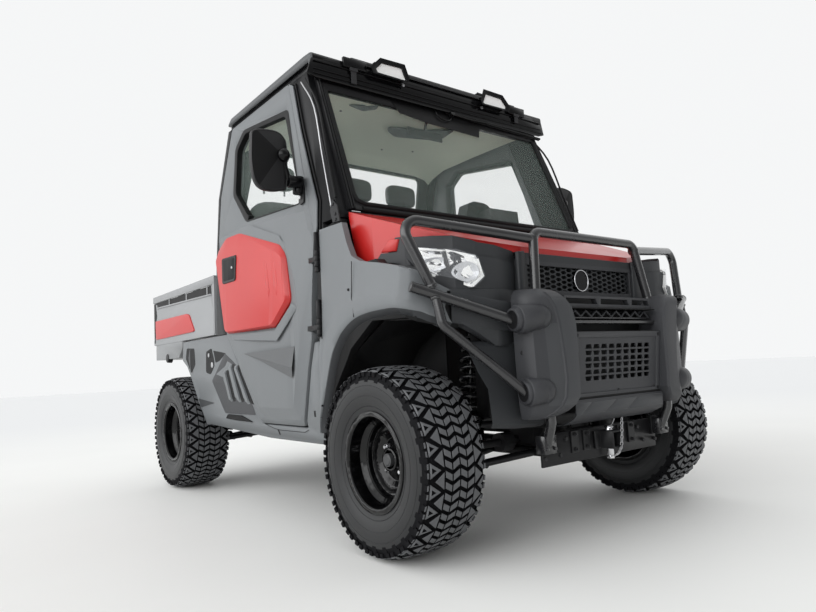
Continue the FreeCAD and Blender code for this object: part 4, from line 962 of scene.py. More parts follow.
def build_lamp_corners():
    """The dark panels round each headlamp, the cheek beside the grille and the small red corner piece."""
    def corner(side, sign):
        def face(table):
            return lambda x, z: at(sign * x, interpolate(table, x), z)
        shelf = draped(f"lamp_shelf_{side}", SHELF, 0, [p[0] for p in SHELF_PLAN[1:-1]], face(SHELF_PLAN), 0.004,
                       "fascia_plastic")
        for vertex in shelf.data.vertices:  # behind the red corner and its wedge
            vertex.co.x = math.copysign(min(abs(vertex.co.x), SHELF_REACH), vertex.co.x)
        post_plan = [(318, -296), (372, -304)]
        post = draped(f"fascia_post_{side}", [(318, 700), (372, 700), (366, 1008), (326, 1012)], 0, [], face(post_plan),
                      0.016, "fascia_plastic", bevel=0.003)
        # The ledge from the fender's crease to the guard cover, then the face under it.
        nose_rows = [[(644, -236, 868), (560, -280, 850), (470, -306, 836), (330, -306, 826)],
                     [(644, -258, 867), (560, -304, 846), (470, -326, 830), (330, -332, 820)],
                     [(645, -263, 862), (560, -309, 838), (470, -331, 820), (330, -337, 810)],
                     [(645, -263, 800), (560, -308, 772), (470, -328, 756), (330, -334, 748)],
                     [(643, -258, 764), (556, -302, 744), (470, -320, 734), (330, -326, 728)],
                     [(636, -236, 758), (548, -280, 738), (470, -298, 728), (330, -304, 722)]]
        nose = lofted(f"fascia_nose_{side}", [[at(sign * x, s, z) for x, s, z in row] for row in nose_rows],
                      "fascia_plastic", smooth=45)
        # The cheek: a lighter band above a seam, and the panel that runs down beside the wheel.
        cheek = [[(611, -262, 700), (470, -290, 700), (300, -310, 700)],
                 [(612, -278, 690), (470, -304, 692), (300, -324, 692)],
                 [(608, -284, 680), (470, -308, 680), (300, -328, 680)],
                 [(580, -300, 600), (460, -312, 600), (300, -324, 600)],
                 [(557, -318, 545), (440, -320, 540), (300, -322, 540)],
                 [(556, -328, 436), (440, -326, 424), (300, -318, 412)],
                 [(552, -316, 420), (440, -310, 408), (300, -300, 402)]]
        panel = lofted(f"cheek_{side}", [[at(sign * x, s, z) for x, s, z in row] for row in cheek], "fascia_plastic",
                       smooth=38)
        back = lofted(f"cheek_shade_{side}", [[at(sign * x, s, z) for x, s, z in row] for row in (
            [(600, -262, 800), (300, -290, 800)], [(556, -256, 690), (300, -286, 690)])], "seal")
        # Red corner piece in front of the hood's wing and the grey wedge under it.
        tri = [(26, 1036), (-26, 1074), (-70, 1069), (-52, 1028)]
        red = rings(f"red_corner_{side}", [[at(sign * (701 if s > -30 else 694), s, z) for s, z in tri],
                                           [at(sign * (708 if s > -30 else 700), s, z) for s, z in shrunk(tri, 0.94)]],
                    "red_plastic", bevel=0.0012)
        wedge = [(44, 1012), (20, 1033), (-52, 1024), (-86, 1020), (-120, 968), (-60, 984), (20, 1000)]
        grey = rings(f"corner_wedge_{side}", [
            [at(sign * interpolate([(-120, 676 + proud), (44, 706 + proud)], s), s, z) for s, z in shrunk(wedge, share)]
            for proud, share in ((0, 1), (10, 0.96))], "fascia_plastic")
    both_sides(corner)


GUARD_TUBE, BRACE_TUBE = 0.0175, 0.01575  # radii


def build_guard():
    """The brush guard: a front loop, a hoop, a lower tube and a brace on each side, with caps and weld beads."""
    leg = [(340, -352.3, 326), (350, -392, 420), (350, -392, 620), (336, -352, 860)]
    across = [(301, -327, 1078), (-301, -327, 1078)]
    front = [at(*p) for p in leg + across + [(-x, s, z) for x, s, z in reversed(leg)]]
    pieces = [bar("guard_loop", bent(front, 0.038, 10), GUARD_TUBE, "tube_black", sides=24)]
    bm = bmesh.new()
    for sign in (1, -1):
        def line(points):
            return [at(sign * x, s, z) for x, s, z in points]
        hoop = line([(306, -328, 1052), (806, -206, 1104), (722, -268, 868)])
        lower = line([(794, -246.5, 877), (478, -380, 759), (345, -372, 748)])
        brace = line([(722, -276, 852), (712, -293, 752), (455, -395, 523), (350, -394, 515)])
        for name, route, corner, steps, radius in (("hoop", hoop, 0.045, 12, GUARD_TUBE),
                                                   ("lower", lower, 0.030, 8, GUARD_TUBE),
                                                   ("brace", brace, 0.040, 10, BRACE_TUBE)):
            pieces.append(bar(f"guard_{name}{sign}", bent(route, corner, steps), radius, "tube_black", sides=24))
        out = (lower[0] - lower[1]).normalized()
        disc(bm, lower[0] - out * 0.004, out, 0.0188, 0.0065, 28, 0.92)
        for spot, away in ((hoop[-1], hoop[1] - hoop[-1]), (brace[0], brace[1] - brace[0])):
            disc(bm, spot + away.normalized() * 0.010, away, 0.0215, 0.008, 24, 0.86)
        disc(bm, hoop[0] + Vector((-0.006 * sign, 0, 0)), hoop[1] - hoop[0], 0.021, 0.020, 24, 0.9)
        block(bm, at(sign * 340 - 30, -375.3, 318), at(sign * 340 + 30, -335.3, 378))
        for x in (-20, 20):
            disc(bm, at(sign * 340 + x, -375, 334), (0, -1, 0), 0.007, 0.006, 6)
    ends = bmesh_piece("guard_ends", bm, "tube_black")
    bevelled(ends, 0.0012)
    sharpen(ends.data)
    for piece in pieces + [ends]:
        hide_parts("brush_guard")


build_fenders()
build_lamp_corners()
build_guard()


# ---------------------------------------------------------------- guard covers, bumper and hitch
# Rows of a guard cover: height, inner edge, front crease, its station, outer edge, its station.
COVER_ROWS = [
    (864, 352, 404, -405, 424, -350), (859, 340, 406, -428, 432, -358), (848, 326, 398, -444, 440, -362),
    (829, 300, 384, -454, 446, -366), (800, 276, 366, -459, 446, -370), (746, 262, 352, -461, 443, -374),
    (640, 262, 338, -461, 442, -378), (565, 262, 332, -461, 440, -380), (505, 263, 340, -459, 438, -378),
    (480, 280, 356, -453, 436, -374), (460, 308, 376, -440, 433, -368), (447, 328, 392, -420, 430, -362),
    (437, 342, 404, -392, 426, -354),
]


def build_covers():
    def cover(side, sign):
        rows = []
        for z, inner, crease, front, outer, back in COVER_ROWS:
            wide, deep = outer - crease, back - front
            section = [(inner - 1, -346), (inner - 1, front + 26), (inner + 1, front + 8), (inner + 8, front + 1),
                       (crease - 3, front), (crease + 3, front + 3), (crease + 6, front + 8),
                       (crease + wide * 0.55, front + deep * 0.30), (outer - 6, front + deep * 0.52),
                       (outer + 4, front + deep * 0.74), (outer + 5, back), (outer + 6, -342)]
            rows.append([at(sign * x, s, z) for x, s in section])
        count = len(rows[0])
        verts = [p for row in rows for p in row]
        faces = sheet_faces(len(rows), count)
        faces += [tuple(range(count)), tuple(reversed(range((len(rows) - 1) * count, len(rows) * count)))]
        shell = mesh_object(f"cover_shell_{side}", verts, faces, "dark_plastic")
        sharpen(shell.data, 30)
        shell.data.materials.append(MATERIALS["lit_front_plastic"])
        for face in shell.data.polygons:  # the flat front is painted lighter: painted light on the faces turned to the front
            face.material_index = int(face.normal.y < -0.93)
        pieces = [shell]
        for number, (mouth, dome) in enumerate((((500, -388, 762), (404, -412, 770)),
                                                ((470, -388, 528), (404, -408, 530)))):
            start, stop = (at(sign * p[0], p[1], p[2]) for p in (mouth, dome))
            way = stop - start
            for step, (radius, near, far) in enumerate(((0.047, 0.16, 1.0), (0.038, 0.0, 0.92))):
                bm = bmesh.new()
                disc(bm, start + way * near, way, radius, way.length * (far - near), 44, 0.97)
                bmesh.ops.create_uvsphere(bm, u_segments=40, v_segments=20, radius=radius * 0.97,
                                          matrix=Matrix.Translation(start + way * far))
                boss = bmesh_piece(f"cover_boss{number}{step}_{side}", bm, "dark_plastic")
                bevelled(boss, 0.003, 2)
                sharpen(boss.data, 40)
                pieces.append(boss)
            bm = bmesh.new()
            disc(bm, start - way.normalized() * 0.0006, way, 0.030, 0.0012, 36)
            pieces.append(bmesh_piece(f"cover_mouth{number}_{side}", bm, "seal"))
        bm = bmesh.new()
        disc(bm, at(sign * 444, -372, 655), (sign * 0.8, -0.6, 0), 0.008, 0.004, 6)
        pieces.append(bmesh_piece(f"cover_bolt_{side}", bm, "seal"))
        for piece in pieces:
            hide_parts("guard_covers")
    both_sides(cover)


def build_bumper():
    def hole(x0, x1):
        return [(x0 + 10, 818), (x1 - 8, 818), (x1 - 20, 837), (x0 + 10, 837)]
    edges = (-262, -66, 127, 262)
    cells = [([(a, 804), (b, 804), (b, 846), (a, 846)], hole(a, b)) for a, b in zip(edges, edges[1:])]
    pieces = [pierced("bumper_bar", cells, 22, lambda x, z, w: at(x, -412 + (846 - z) * 0.10 + w, z), "dark_plastic")]
    bevelled(pieces[0], 0.0022, 2)
    sharpen(pieces[0].data)
    rim = pierced("bumper_rim", frame_cells((-262, 496), (262, 717), (-236, 508), (236, 697)), 14,
                  lambda x, z, w: at(x, -443 + (717 - z) * 23 / 221 + w, z), "dark_plastic")
    bevelled(rim, 0.003, 2)
    sharpen(rim.data)
    pieces.append(rim)
    bm = bmesh.new()
    block(bm, at(-262, -352, 486), at(262, -346, 850))
    block(bm, at(-262, -425, 800), at(262, -352, 804))
    block(bm, at(-262, -418, 485), at(262, -350, 496))
    pieces.append(bmesh_piece("bumper_shade", bm, "seal"))
    # A zigzag bar, then two round tubes, between the bumper's bar and the grille frame.
    zigzag = [at(-255 + 30 * i, -398, 773 if i % 2 else 796) for i in range(18)]
    pieces.append(bar("bumper_lattice", zigzag, 0.0058, "dark_plastic", sides=8))
    for number, (z, radius, s) in enumerate(((769, 0.0050, -398), (753, 0.0075, -414))):
        pieces.append(bar(f"bumper_tube{number}", [at(-262, s, z), at(262, s, z)], radius, "tube_black", sides=16))
    bm = bmesh.new()
    block(bm, at(-262, -440, 716), at(262, -380, 719))
    for x in (-246, 246):
        for z in (505, 706):
            disc(bm, at(x, -440 + (717 - z) * 23 / 221, z), (0, -1, 0), 0.006, 0.006, 6)
    pieces.append(bmesh_piece("bumper_bits", bm, "frame_black"))
    # Chin with four slanted panels, in the lighter copy of the dark plastic as painted light on their fronts.
    chin = [(486, -421), (480, -425), (440, -424), (428, -414), (408, -372), (402, -340)]
    widths = (-262, -200, -100, 0, 100, 200, 262)
    pieces.append(lofted("bumper_chin", [[at(x, s, z) for x in widths] for z, s in chin], "dark_plastic",
                         thickness=0.004, smooth=26))
    bm = bmesh.new()
    cuts = ((-262, -262), (-168, -229), (-24, -99), (104, 32), (262, 262))
    for (top0, low0), (top1, low1) in zip(cuts, cuts[1:]):
        plate(bm, [at(top0 + 5, -422, 479), at(low0 + 5, -421, 438), at(low1 - 5, -421, 438), at(top1 - 5, -422, 479)],
              (0, -0.0075, 0))
    panels = bmesh_piece("chin_panels", bm, "lit_front_plastic")
    bevelled(panels, 0.003, 3)
    sharpen(panels.data)
    pieces.append(panels)
    for piece in pieces:
        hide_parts("bumper")


def chain_link(bm, centre, along, across):
    """An oval ring of wire."""
    along, across = along.normalized(), across.normalized()
    normal = along.cross(across)
    loops = []
    for a in angles(16):
        spot = centre + along * 0.0085 * math.cos(a) + across * 0.0050 * math.sin(a)
        out = (along * math.cos(a) + across * math.sin(a)).normalized()
        loops.append([bm.verts.new(spot + (out * math.cos(b) + normal * math.sin(b)) * 0.0014) for b in angles(6)])
    for here, after in zip(loops, loops[1:] + loops[:1]):
        bridge(bm, here, after)


def build_hitch():
    softened("hitch_receivers", 0.0015)
    bm = bmesh.new()
    disc(bm, at(0, -362, 268), (0, 0, 1), 0.0125, 0.108, 28)
    disc(bm, at(0, -362, 372), (0, 0, 1), 0.017, 0.006, 28, 0.9)
    disc(bm, at(0, -362, 262), (0, 0, 1), 0.0145, 0.012, 6)
    pin = bmesh_piece("hitch_pin", bm, "chrome")
    bevelled(pin, 0.0008)
    sharpen(pin.data)
    clip = bar("hitch_clip", [at(-14, -366, 378), at(8, -368, 380), at(16, -370, 390), at(22, -372, 402)], 0.0022,
               "zinc", sides=8)
    bm = bmesh.new()
    route = [at(22, -404, 400), at(14, -406, 350), at(6, -406, 305), at(-12, -404, 284), at(-24, -392, 272)]
    spots = [a.lerp(b, k / 4) for a, b in zip(route, route[1:]) for k in range(4)]
    for i, (here, after) in enumerate(zip(spots, spots[1:])):
        chain_link(bm, here, after - here, Vector((0, 1, 0)) if i % 2 else Vector((1, 0, 0.2)))
    chain = bmesh_piece("hitch_chain", bm, "zinc", smooth=True)
    bm = bmesh.new()
    bolts = bmesh.new()
    for sign in (1, -1):
        for x0, x1, z0, z1, s in ((300, 335, 316, 388, -347), (150, 190, 300, 376, -342), (84, 122, 302, 372, -341)):
            a, b = sorted((sign * x0, sign * x1))
            block(bm, at(a, s, z0), at(b, -334, z1))
            for z in (z0 + 12, z1 - 12):
                disc(bolts, at((a + b) / 2, s - 0.5, z), (0, -1, 0), 0.0068, 0.006, 6)
                disc(bolts, at((a + b) / 2, s - 5, z), (0, -1, 0), 0.004, 0.006, 12)
        for x, z in ((216, 352), (250, 300), (380, 296)):
            disc(bolts, at(sign * min(x, 330), -335, z), (0, -1, 0), 0.0075, 0.007, 6)
    tabs = bmesh_piece("frame_tabs", bm, "frame_black")
    bevelled(tabs, 0.0015)
    bmesh_piece("frame_bolts", bolts, "cast_grey")


build_covers()
build_bumper()
build_hitch()


# ---------------------------------------------------------------- roof front and windscreen
def screen(x, z, ahead=0.0):
    """A point on the outer face of the windscreen's slope."""
    return at(x, 220 + 0.4 * (z - 1241) - ahead, z)


def build_visor():
    """The black face over the windscreen with its ribs, the lamp pods and the wiper."""
    bm = bmesh.new()
    face = [(-719, 1934), (-576, 1953), (-447, 1962), (447, 1962), (576, 1953), (719, 1934), (742, 1866), (700, 1853),
            (-700, 1853), (-742, 1866)]
    plate(bm, [at(x, 437 + (1960 - z) * 0.05, z) for x, z in face], (0, 0.009, 0))
    for x in (-510, 510):
        block(bm, at(x - 60, 424, 1928), at(x + 60, 440, 1972))
    skirt = bevelled(bmesh_piece("visor_face", bm, "gloss_black"), 0.003, 3)
    sharpen(skirt.data)
    ribs = bmesh.new()
    for z, s in ((1921, 434), (1888, 436), (1868, 436)):
        plate(ribs, [at(-712, s, z), at(712, s, z), at(712, s, z + 4), at(-712, s, z + 4)], (0, 0.006, 0))
    ribs = bevelled(bmesh_piece("visor_ribs", ribs, "seal"), 0.0012, 2)
    bm = bmesh.new()
    for x, low, high in ((-518, 1858, 1936), (506, 1884, 1940)):
        block(bm, at(x - 13, 424, low), at(x + 13, 432, high))
        block(bm, at(x - 20, 421, high - 22), at(x + 20, 430, high - 6))
    clips = bevelled(bmesh_piece("screen_latches", bm, "cast_grey"), 0.002, 2)

    def pod(side, sign):
        outer = [(226, 1944), (250, 2006), (388, 2003), (442, 1950), (430, 1922), (238, 1922)]
        inner = [(246, 1934), (268, 1984), (378, 1981), (412, 1946), (404, 1932), (252, 1930)]
        shell = pierced(f"pod_frame_{side}", [(outer, inner)], 46, lambda x, z, w: at(sign * x, 404 + w, z),
                        "gloss_black")
        bevelled(shell, 0.004, 3)
        sharpen(shell.data)
        bm = bmesh.new()
        plate(bm, [at(sign * x, 448, z) for x, z in outer], (0, 0.11, 0.0))
        back = bevelled(bmesh_piece(f"pod_back_{side}", bm, "gloss_black"), 0.008, 3)
        bm = bmesh.new()
        plate(bm, [at(sign * x, 411, z) for x, z in inner], (0, 0.004, 0))
        lens = bmesh_piece(f"pod_lens_{side}", bm, "lamp_white")
        bm = bmesh.new()
        disc(bm, at(sign * 250, 428, 1915), (0, -1, 0), 0.008, 0.006, 6)
        bolt = bmesh_piece(f"pod_bolt_{side}", bm, "zinc")
        for piece in (shell, back, lens, bolt):
            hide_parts("roof_lamps")
    both_sides(pod)

    # Dark band printed on the glass behind the wiper motor, the motor's ring, arm and blade.
    band = [(-690, 1872), (690, 1872), (690, 1846), (247, 1813), (217, 1752), (-121, 1764), (-271, 1784),
            (-300, 1846), (-690, 1850)]
    bm = bmesh.new()
    plate(bm, [screen(x, z, 1.5) for x, z in band], (0, 0.001, 0))
    printed = bmesh_piece("screen_band", bm, "seal")
    ring = bar("wiper_ring", [screen(9 + 48 * math.cos(a), 1838 + 34 * math.sin(a), 10) for a in angles(40)], 0.0035,
               "gloss_black", cyclic=True)
    blade = bar("wiper_blade", [screen(24, 1858, 16), screen(704, 1838, 16)], 0.006, "gloss_black", sides=12)
    rubber = bar("wiper_rubber", [screen(30, 1851, 9), screen(700, 1831, 9)], 0.0035, "seal", sides=8)
    arm = bar("wiper_arm", [screen(60, 1846, 22), screen(160, 1842, 24), screen(300, 1850, 20)], 0.006, "gloss_black",
              sides=12)
    bm = bmesh.new()
    disc(bm, screen(64, 1846, 6), (0, -1, 0.4), 0.017, 0.020, 24, 0.8)
    disc(bm, screen(-110, 1852, 6), (0, -1, 0.4), 0.008, 0.006, 6)
    pivot = bmesh_piece("wiper_pivot", bm, "gloss_black")
    hose = bar("washer_hose", [screen(-230, 1870, 14), screen(-120, 1856, 18), screen(-30, 1874, 18),
                               screen(60, 1864, 20)],
               0.003, "soft_black")


def build_pillars():
    """Black profiles stacked by the glass, one bright zinc line as a painted highlight, and the screen hinge brackets.
    """
    def pillar(side, sign):
        lines = (((552, 1871), (437, 1720), (366, 1495), (320, 1352), (284, 1246)),
                 ((520, 1876), (404, 1710), (330, 1488), (262, 1290)))
        # The first line's zinc is a painted highlight along the black pillar's edge.
        profiles = ((lines[0], -16, 0.0042, "zinc"), (lines[1], -18, 0.005, "seal"))
        for number, (line, proud, radius, finish) in enumerate(profiles):
            points = smooth_line([(s, z, 0) for s, z in line], 4)
            piece = bar(f"pillar_line{number}_{side}", [skin(sign, proud)(p.x, p.y) for p in points], radius, finish)
        for number, (x0, x1) in enumerate(((690, 668), (679, 660))):
            piece = bar(f"screen_seal{number}_{side}", [screen(sign * x0, 1244, 3), screen(sign * x1, 1866, 3)], 0.0035,
                        ("seal", "gloss_black")[number])
        bm = bmesh.new()
        plate(bm, [skin(sign, -12)(s, z) for s, z in ((272, 1284), (234, 1252), (212, 1186), (262, 1190), (284, 1240))],
              (sign * 0.006, 0, 0))
        for s, z in ((262, 1262), (244, 1220), (240, 1198)):
            disc(bm, skin(sign, -6)(s, z), (sign, 0, 0), 0.007, 0.004, 6)
        bevelled(bmesh_piece(f"screen_hinge_{side}", bm, "cast_grey"), 0.001)
    both_sides(pillar)
    # Rubber round the glass with rounded lower corners.
    corner = []
    for sign in (-1, 1):
        path = [(652, 1806), (662, 1312), (655, 1284), (622, 1270)]
        path = path if sign < 0 else list(reversed(path))
        corner += [(sign * x, z) for x, z in path]
    bar("screen_sill", [screen(x, 1247, -8) for x in (-640, 640)], 0.013, "seal")
    bar("screen_rubber", [screen(x, z, -4) for x, z in corner], 0.011, "seal")


def build_hinges():
    """Long barrels on the hinge line with their leaves and bolts."""
    def hinge(side, sign):
        bm = bmesh.new()
        bolts = bmesh.new()
        for low, high in ((1098, 1170), (1012, 1032), (760, 764), (830, 905)):
            disc(bm, at(sign * 774, 360, low), (0, 0, 1), 0.010, (high - low) / 1000, 24)
        for height in (797, 1065):
            leaf = ((752, 322), (758, 322), (772, 352), (766, 358), (752, 350))
            plate(bm, [at(sign * x, s, height - 46) for x, s in leaf], (0, 0, 0.092))
            for up in (-28, 26):
                disc(bolts, at(sign * 757, 334, height + up), (sign, -0.35, 0), 0.0085, 0.004, 16)
                disc(bolts, at(sign * 760, 332, height + up), (sign, -0.35, 0), 0.0055, 0.006, 6)
        leaves = bevelled(bmesh_piece(f"hinge_barrels_{side}", bm, "cab_black"), 0.0012)
        sharpen(leaves.data)
        bmesh_piece(f"hinge_bolts_{side}", bolts, "zinc")
    both_sides(hinge)


# ---------------------------------------------------------------- mirrors
MIRROR = [(979, 1579), (936, 1594), (879, 1596), (846, 1580), (830, 1533), (836, 1374), (862, 1354), (908, 1346),
          (950, 1352), (976, 1381), (988, 1451), (986, 1535)]


MIRROR_APEX = (872, 1494)


def build_mirrors():
    def mirror(side, sign):
        body = f"door_{side}"
        closed = [(x, z, 0) for x, z in MIRROR[-2:] + MIRROR + MIRROR[:2]]
        outline = [(p.x, p.y) for p in smooth_line(closed, 4)[8:8 + 4 * len(MIRROR)]]
        loops = [(0.955, 486), (1.0, 484), (1.0, 470), (0.965, 464), (0.93, 466)]
        verts = [at(sign * x, s, z) for share, s in loops for x, z in shrunk(outline, share)]
        count = len(outline)
        verts.append(at(sign * MIRROR_APEX[0], 437, MIRROR_APEX[1]))
        faces = [(k * count + i, k * count + (i + 1) % count, (k + 1) * count + (i + 1) % count, (k + 1) * count + i)
                 for k in range(len(loops) - 1) for i in range(count)]
        tip = len(verts) - 1
        base = (len(loops) - 1) * count
        faces += [(base + i, base + (i + 1) % count, tip) for i in range(count)]
        faces.append(tuple(range(count)))
        shell = mesh_object(f"mirror_shell_{side}", verts, faces, "mirror_shell", body)
        shell.data.materials.append(MATERIALS["seal"])
        # The outer facet of the shell is painted darker: painted shade on that one facet.
        painted_shade_from = sum(p[0] for p in outline) / count / 1000 + 0.035
        for face in shell.data.polygons:
            corners = [shell.data.vertices[v].co for v in face.vertices if v != tip]
            if len(face.vertices) == 3 and all(abs(co.x) > painted_shade_from for co in corners):
                face.material_index = 1
        sharpen(shell.data, 24)
        bm = bmesh.new()
        plate(bm, [at(sign * x, 486.4, z) for x, z in shrunk(outline, 0.93)], (0, 0.001, 0))
        glass = bmesh_piece(f"mirror_glass_{side}", bm, "mirror", body)
        bm = bmesh.new()
        bmesh.ops.create_uvsphere(bm, u_segments=28, v_segments=16, radius=0.027,
                                  matrix=Matrix.Translation(at(sign * 862, 441, 1490)))
        ball = bmesh_piece(f"mirror_ball_{side}", bm, "gloss_black", body, smooth=True)
        bm = bmesh.new()
        disc(bm, at(sign * 862, 452, 1490), (0, 1, 0), 0.033, 0.014, 32, 0.9)
        disc(bm, at(sign * 834, 470, 1396), (-sign, 0, 0), 0.026, 0.058, 28, 0.92)
        disc(bm, at(sign * 776, 488, 1424), (0, 0, -1), 0.025, 0.070, 28, 0.9)
        block(bm, at(min(sign * 790, sign * 832), 468, 1380), at(max(sign * 790, sign * 832), 500, 1418))
        joint = bevelled(bmesh_piece(f"mirror_joint_{side}", bm, "gloss_black", body), 0.003, 3)
        sharpen(joint.data)
        route = ((858, 462, 1486), (842, 470, 1440), (826, 474, 1400))
        arm = bar(f"mirror_arm_{side}", [at(sign * x, s, z) for x, s, z in route], 0.014, "gloss_black", body, 16)
        bm = bmesh.new()
        foot = [(482, 1420), (512, 1420), (512, 1330), (496, 1312), (470, 1318), (470, 1372)]
        plate(bm, [skin(sign, 1.5)(s, z) for s, z in foot], (sign * 0.008, 0, 0))
        disc(bm, skin(sign, 8)(492, 1342), (sign, 0, 0), 0.011, 0.003, 24)
        base_plate = bevelled(bmesh_piece(f"mirror_foot_{side}", bm, "mirror_shell", body), 0.002)
        bm = bmesh.new()
        disc(bm, skin(sign, 10)(492, 1342), (sign, 0, 0), 0.0075, 0.006, 6)
        bolt = bmesh_piece(f"mirror_bolt_{side}", bm, "zinc", body)
        for piece in (shell, glass, ball, joint, arm, base_plate, bolt):
            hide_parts(f"door_mirror_{side}")
    both_sides(mirror)


# ---------------------------------------------------------------- coil springs
def coil(start, stop, radius, turns):
    """Points of a helix between two ends."""
    axis = stop - start
    side = axis.normalized().cross(Vector((0, 1, 0))).normalized()
    other = axis.normalized().cross(side)
    steps = int(turns * 20)
    points = []
    for k in range(steps + 1):
        a = 2 * math.pi * turns * k / steps
        points.append(start + axis * (k / steps) + (side * math.cos(a) + other * math.sin(a)) * radius)
    return points


def build_springs():
    """Spring, damper and end eyes of each strut."""
    for sign, side in ((1, "left"), (-1, "right")):
        for row, station, foot_z in (("front", -60, 268), ("rear", (AXLE["rear"].y - FRONT_AXLE) * 1000 + 60, 268)):
            foot, head = at(sign * 430, station, foot_z), at(sign * 365, station, 752)
            along = head - foot
            spring = bar(f"coil_{row}_{side}", coil(foot + along * 0.34, foot + along * 0.93, 0.0375, 8.0), 0.0078,
                         "spring_black")
            tender = bar(f"coil_short_{row}_{side}", coil(foot + along * 0.27, foot + along * 0.36, 0.037, 3.0), 0.0055,
                         "spring_black", sides=10)
            bm = bmesh.new()
            disc(bm, foot + along * 0.05, along, 0.021, along.length * 0.34, 28)
            disc(bm, foot + along * 0.36, along, 0.0085, along.length * 0.56, 20)
            disc(bm, foot + along * 0.255, along, 0.043, 0.008, 32, 0.9)
            disc(bm, foot + along * 0.93, along, 0.044, 0.009, 32, 0.9)
            disc(bm, foot + along * 0.93, along, 0.024, along.length * 0.055, 28)
            for end in (foot, head):
                disc(bm, end - Vector((0, 0.016, 0)), (0, 1, 0), 0.019, 0.032, 28)
            body = bevelled(bmesh_piece(f"damper_{row}_{side}", bm, "spring_black"), 0.0015, 2)
            sharpen(body.data)
            for piece in (spring, tender, body):
                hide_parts("struts")


build_visor()
build_pillars()
build_hinges()
build_mirrors()
build_springs()


# ---------------------------------------------------------------- cabin
def cushion_mesh(name, low, high, crown):
    """A pad between two corners (millimetres: across, behind, up), each face crowned towards its middle."""
    bm = bmesh.new()
    bmesh.ops.create_cube(bm, size=2)
    bmesh.ops.subdivide_edges(bm, edges=bm.edges, cuts=10, use_grid_fill=True)
    low, high = Vector(low), Vector(high)
    half, middle = (high - low) / 2, (high + low) / 2
    power = 5.0
    for v in bm.verts:
        p = v.co
        norm = (abs(p.x) ** power + abs(p.y) ** power + abs(p.z) ** power) ** (1 / power)
        p = p / norm
        swell = [crown[k] * (1 - p[(k + 1) % 3] ** 2) * (1 - p[(k + 2) % 3] ** 2) for k in range(3)]
        v.co = at(*[middle[k] + p[k] * (half[k] - crown[k] + swell[k]) for k in range(3)])
    return bmesh_piece(name, bm, "seat_vinyl", smooth=True)


BACK_LEAN = -4.6  # degrees
PAD_VOXEL, HEAD_VOXEL = 0.008, 0.005
PRESSURE = 4.0
CLOTH_FRAMES = 20


def inflated(piece, cap, voxel):
    """Cloth-simulated swelling of a pad, with each point's travel capped, then one subdivision."""
    remesh = piece.modifiers.new("voxels", "REMESH")
    remesh.mode = "VOXEL"
    remesh.voxel_size = voxel
    apply_modifiers(piece)
    start = [v.co.copy() for v in piece.data.vertices]
    cloth = piece.modifiers.new("cloth", "CLOTH")
    cloth.settings.use_pressure = True
    cloth.settings.uniform_pressure_force = PRESSURE
    cloth.settings.effector_weights.gravity = 0
    cloth.settings.quality = 4
    cloth.collision_settings.use_collision = False
    scene = bpy.context.scene
    for step in range(1, CLOTH_FRAMES + 1):
        scene.frame_set(step)
    apply_modifiers(piece)
    for v, before in zip(piece.data.vertices, start):
        travel = v.co - before
        if travel.length > cap:
            v.co = before + travel.normalized() * cap
    scene.frame_set(1)
    smooth = piece.modifiers.new("smooth", "SUBSURF")
    smooth.levels = 1
    apply_modifiers(piece)
    piece.data.shade_smooth()


def build_seats():
    """Bench and back in two halves, each a padded cushion, and three head pads."""
    def half(side, sign):
        x0, x1 = sorted((sign * 14, sign * 626))
        seat = cushion_mesh(f"seat_pad_{side}", (x0, 924, 762), (x1, 1326, 866), (0, 8, 16))
        inflated(seat, 0.012, PAD_VOXEL)
        back = cushion_mesh(f"back_pad_{side}", (x0, -46, 762), (x1, 46, 1584), (0, 14, 0))
        lean = Matrix.Rotation(math.radians(BACK_LEAN), 4, "X")
        back.data.transform(Matrix.Translation(at(0, 1318, 762)) @ lean @ Matrix.Translation(-at(0, 0, 762)))
        inflated(back, 0.012, PAD_VOXEL)
        for piece, node in ((seat, "seat_cushions"), (back, "seat_backs")):
            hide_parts(node)
        # Two lines of piping across each half of the seat.
        for number, (s, z) in enumerate(((1040, 881), (1180, 880))):
            path = [at(sign * x, s, z - 7 * (abs(x - 320) / 290) ** 3) for x in range(40, 610, 30)]
            line = bar(f"seat_seam{number}_{side}", path, 0.0025, "soft_black", sides=8)
    both_sides(half)
    rest_pads = ((-470, (112, 1612, 1748)), (40, (112, 1612, 1748)), (375, (108, 1612, 1746)))
    for number, (x, (wide, low, high)) in enumerate(rest_pads):
        pad = cushion_mesh(f"head_pad{number}", (x - wide, 1264, low), (x + wide, 1330, high), (4, 6, 4))
        inflated(pad, 0.006, HEAD_VOXEL)
        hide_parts("headrests")
        for step in (-60, 60):
            ends = [at(x + step, 1321, z) for z in (1592, 1625)]
            post = bar(f"head_post{number}{step + 60}", ends, 0.006, "zinc")
            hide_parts("headrests")


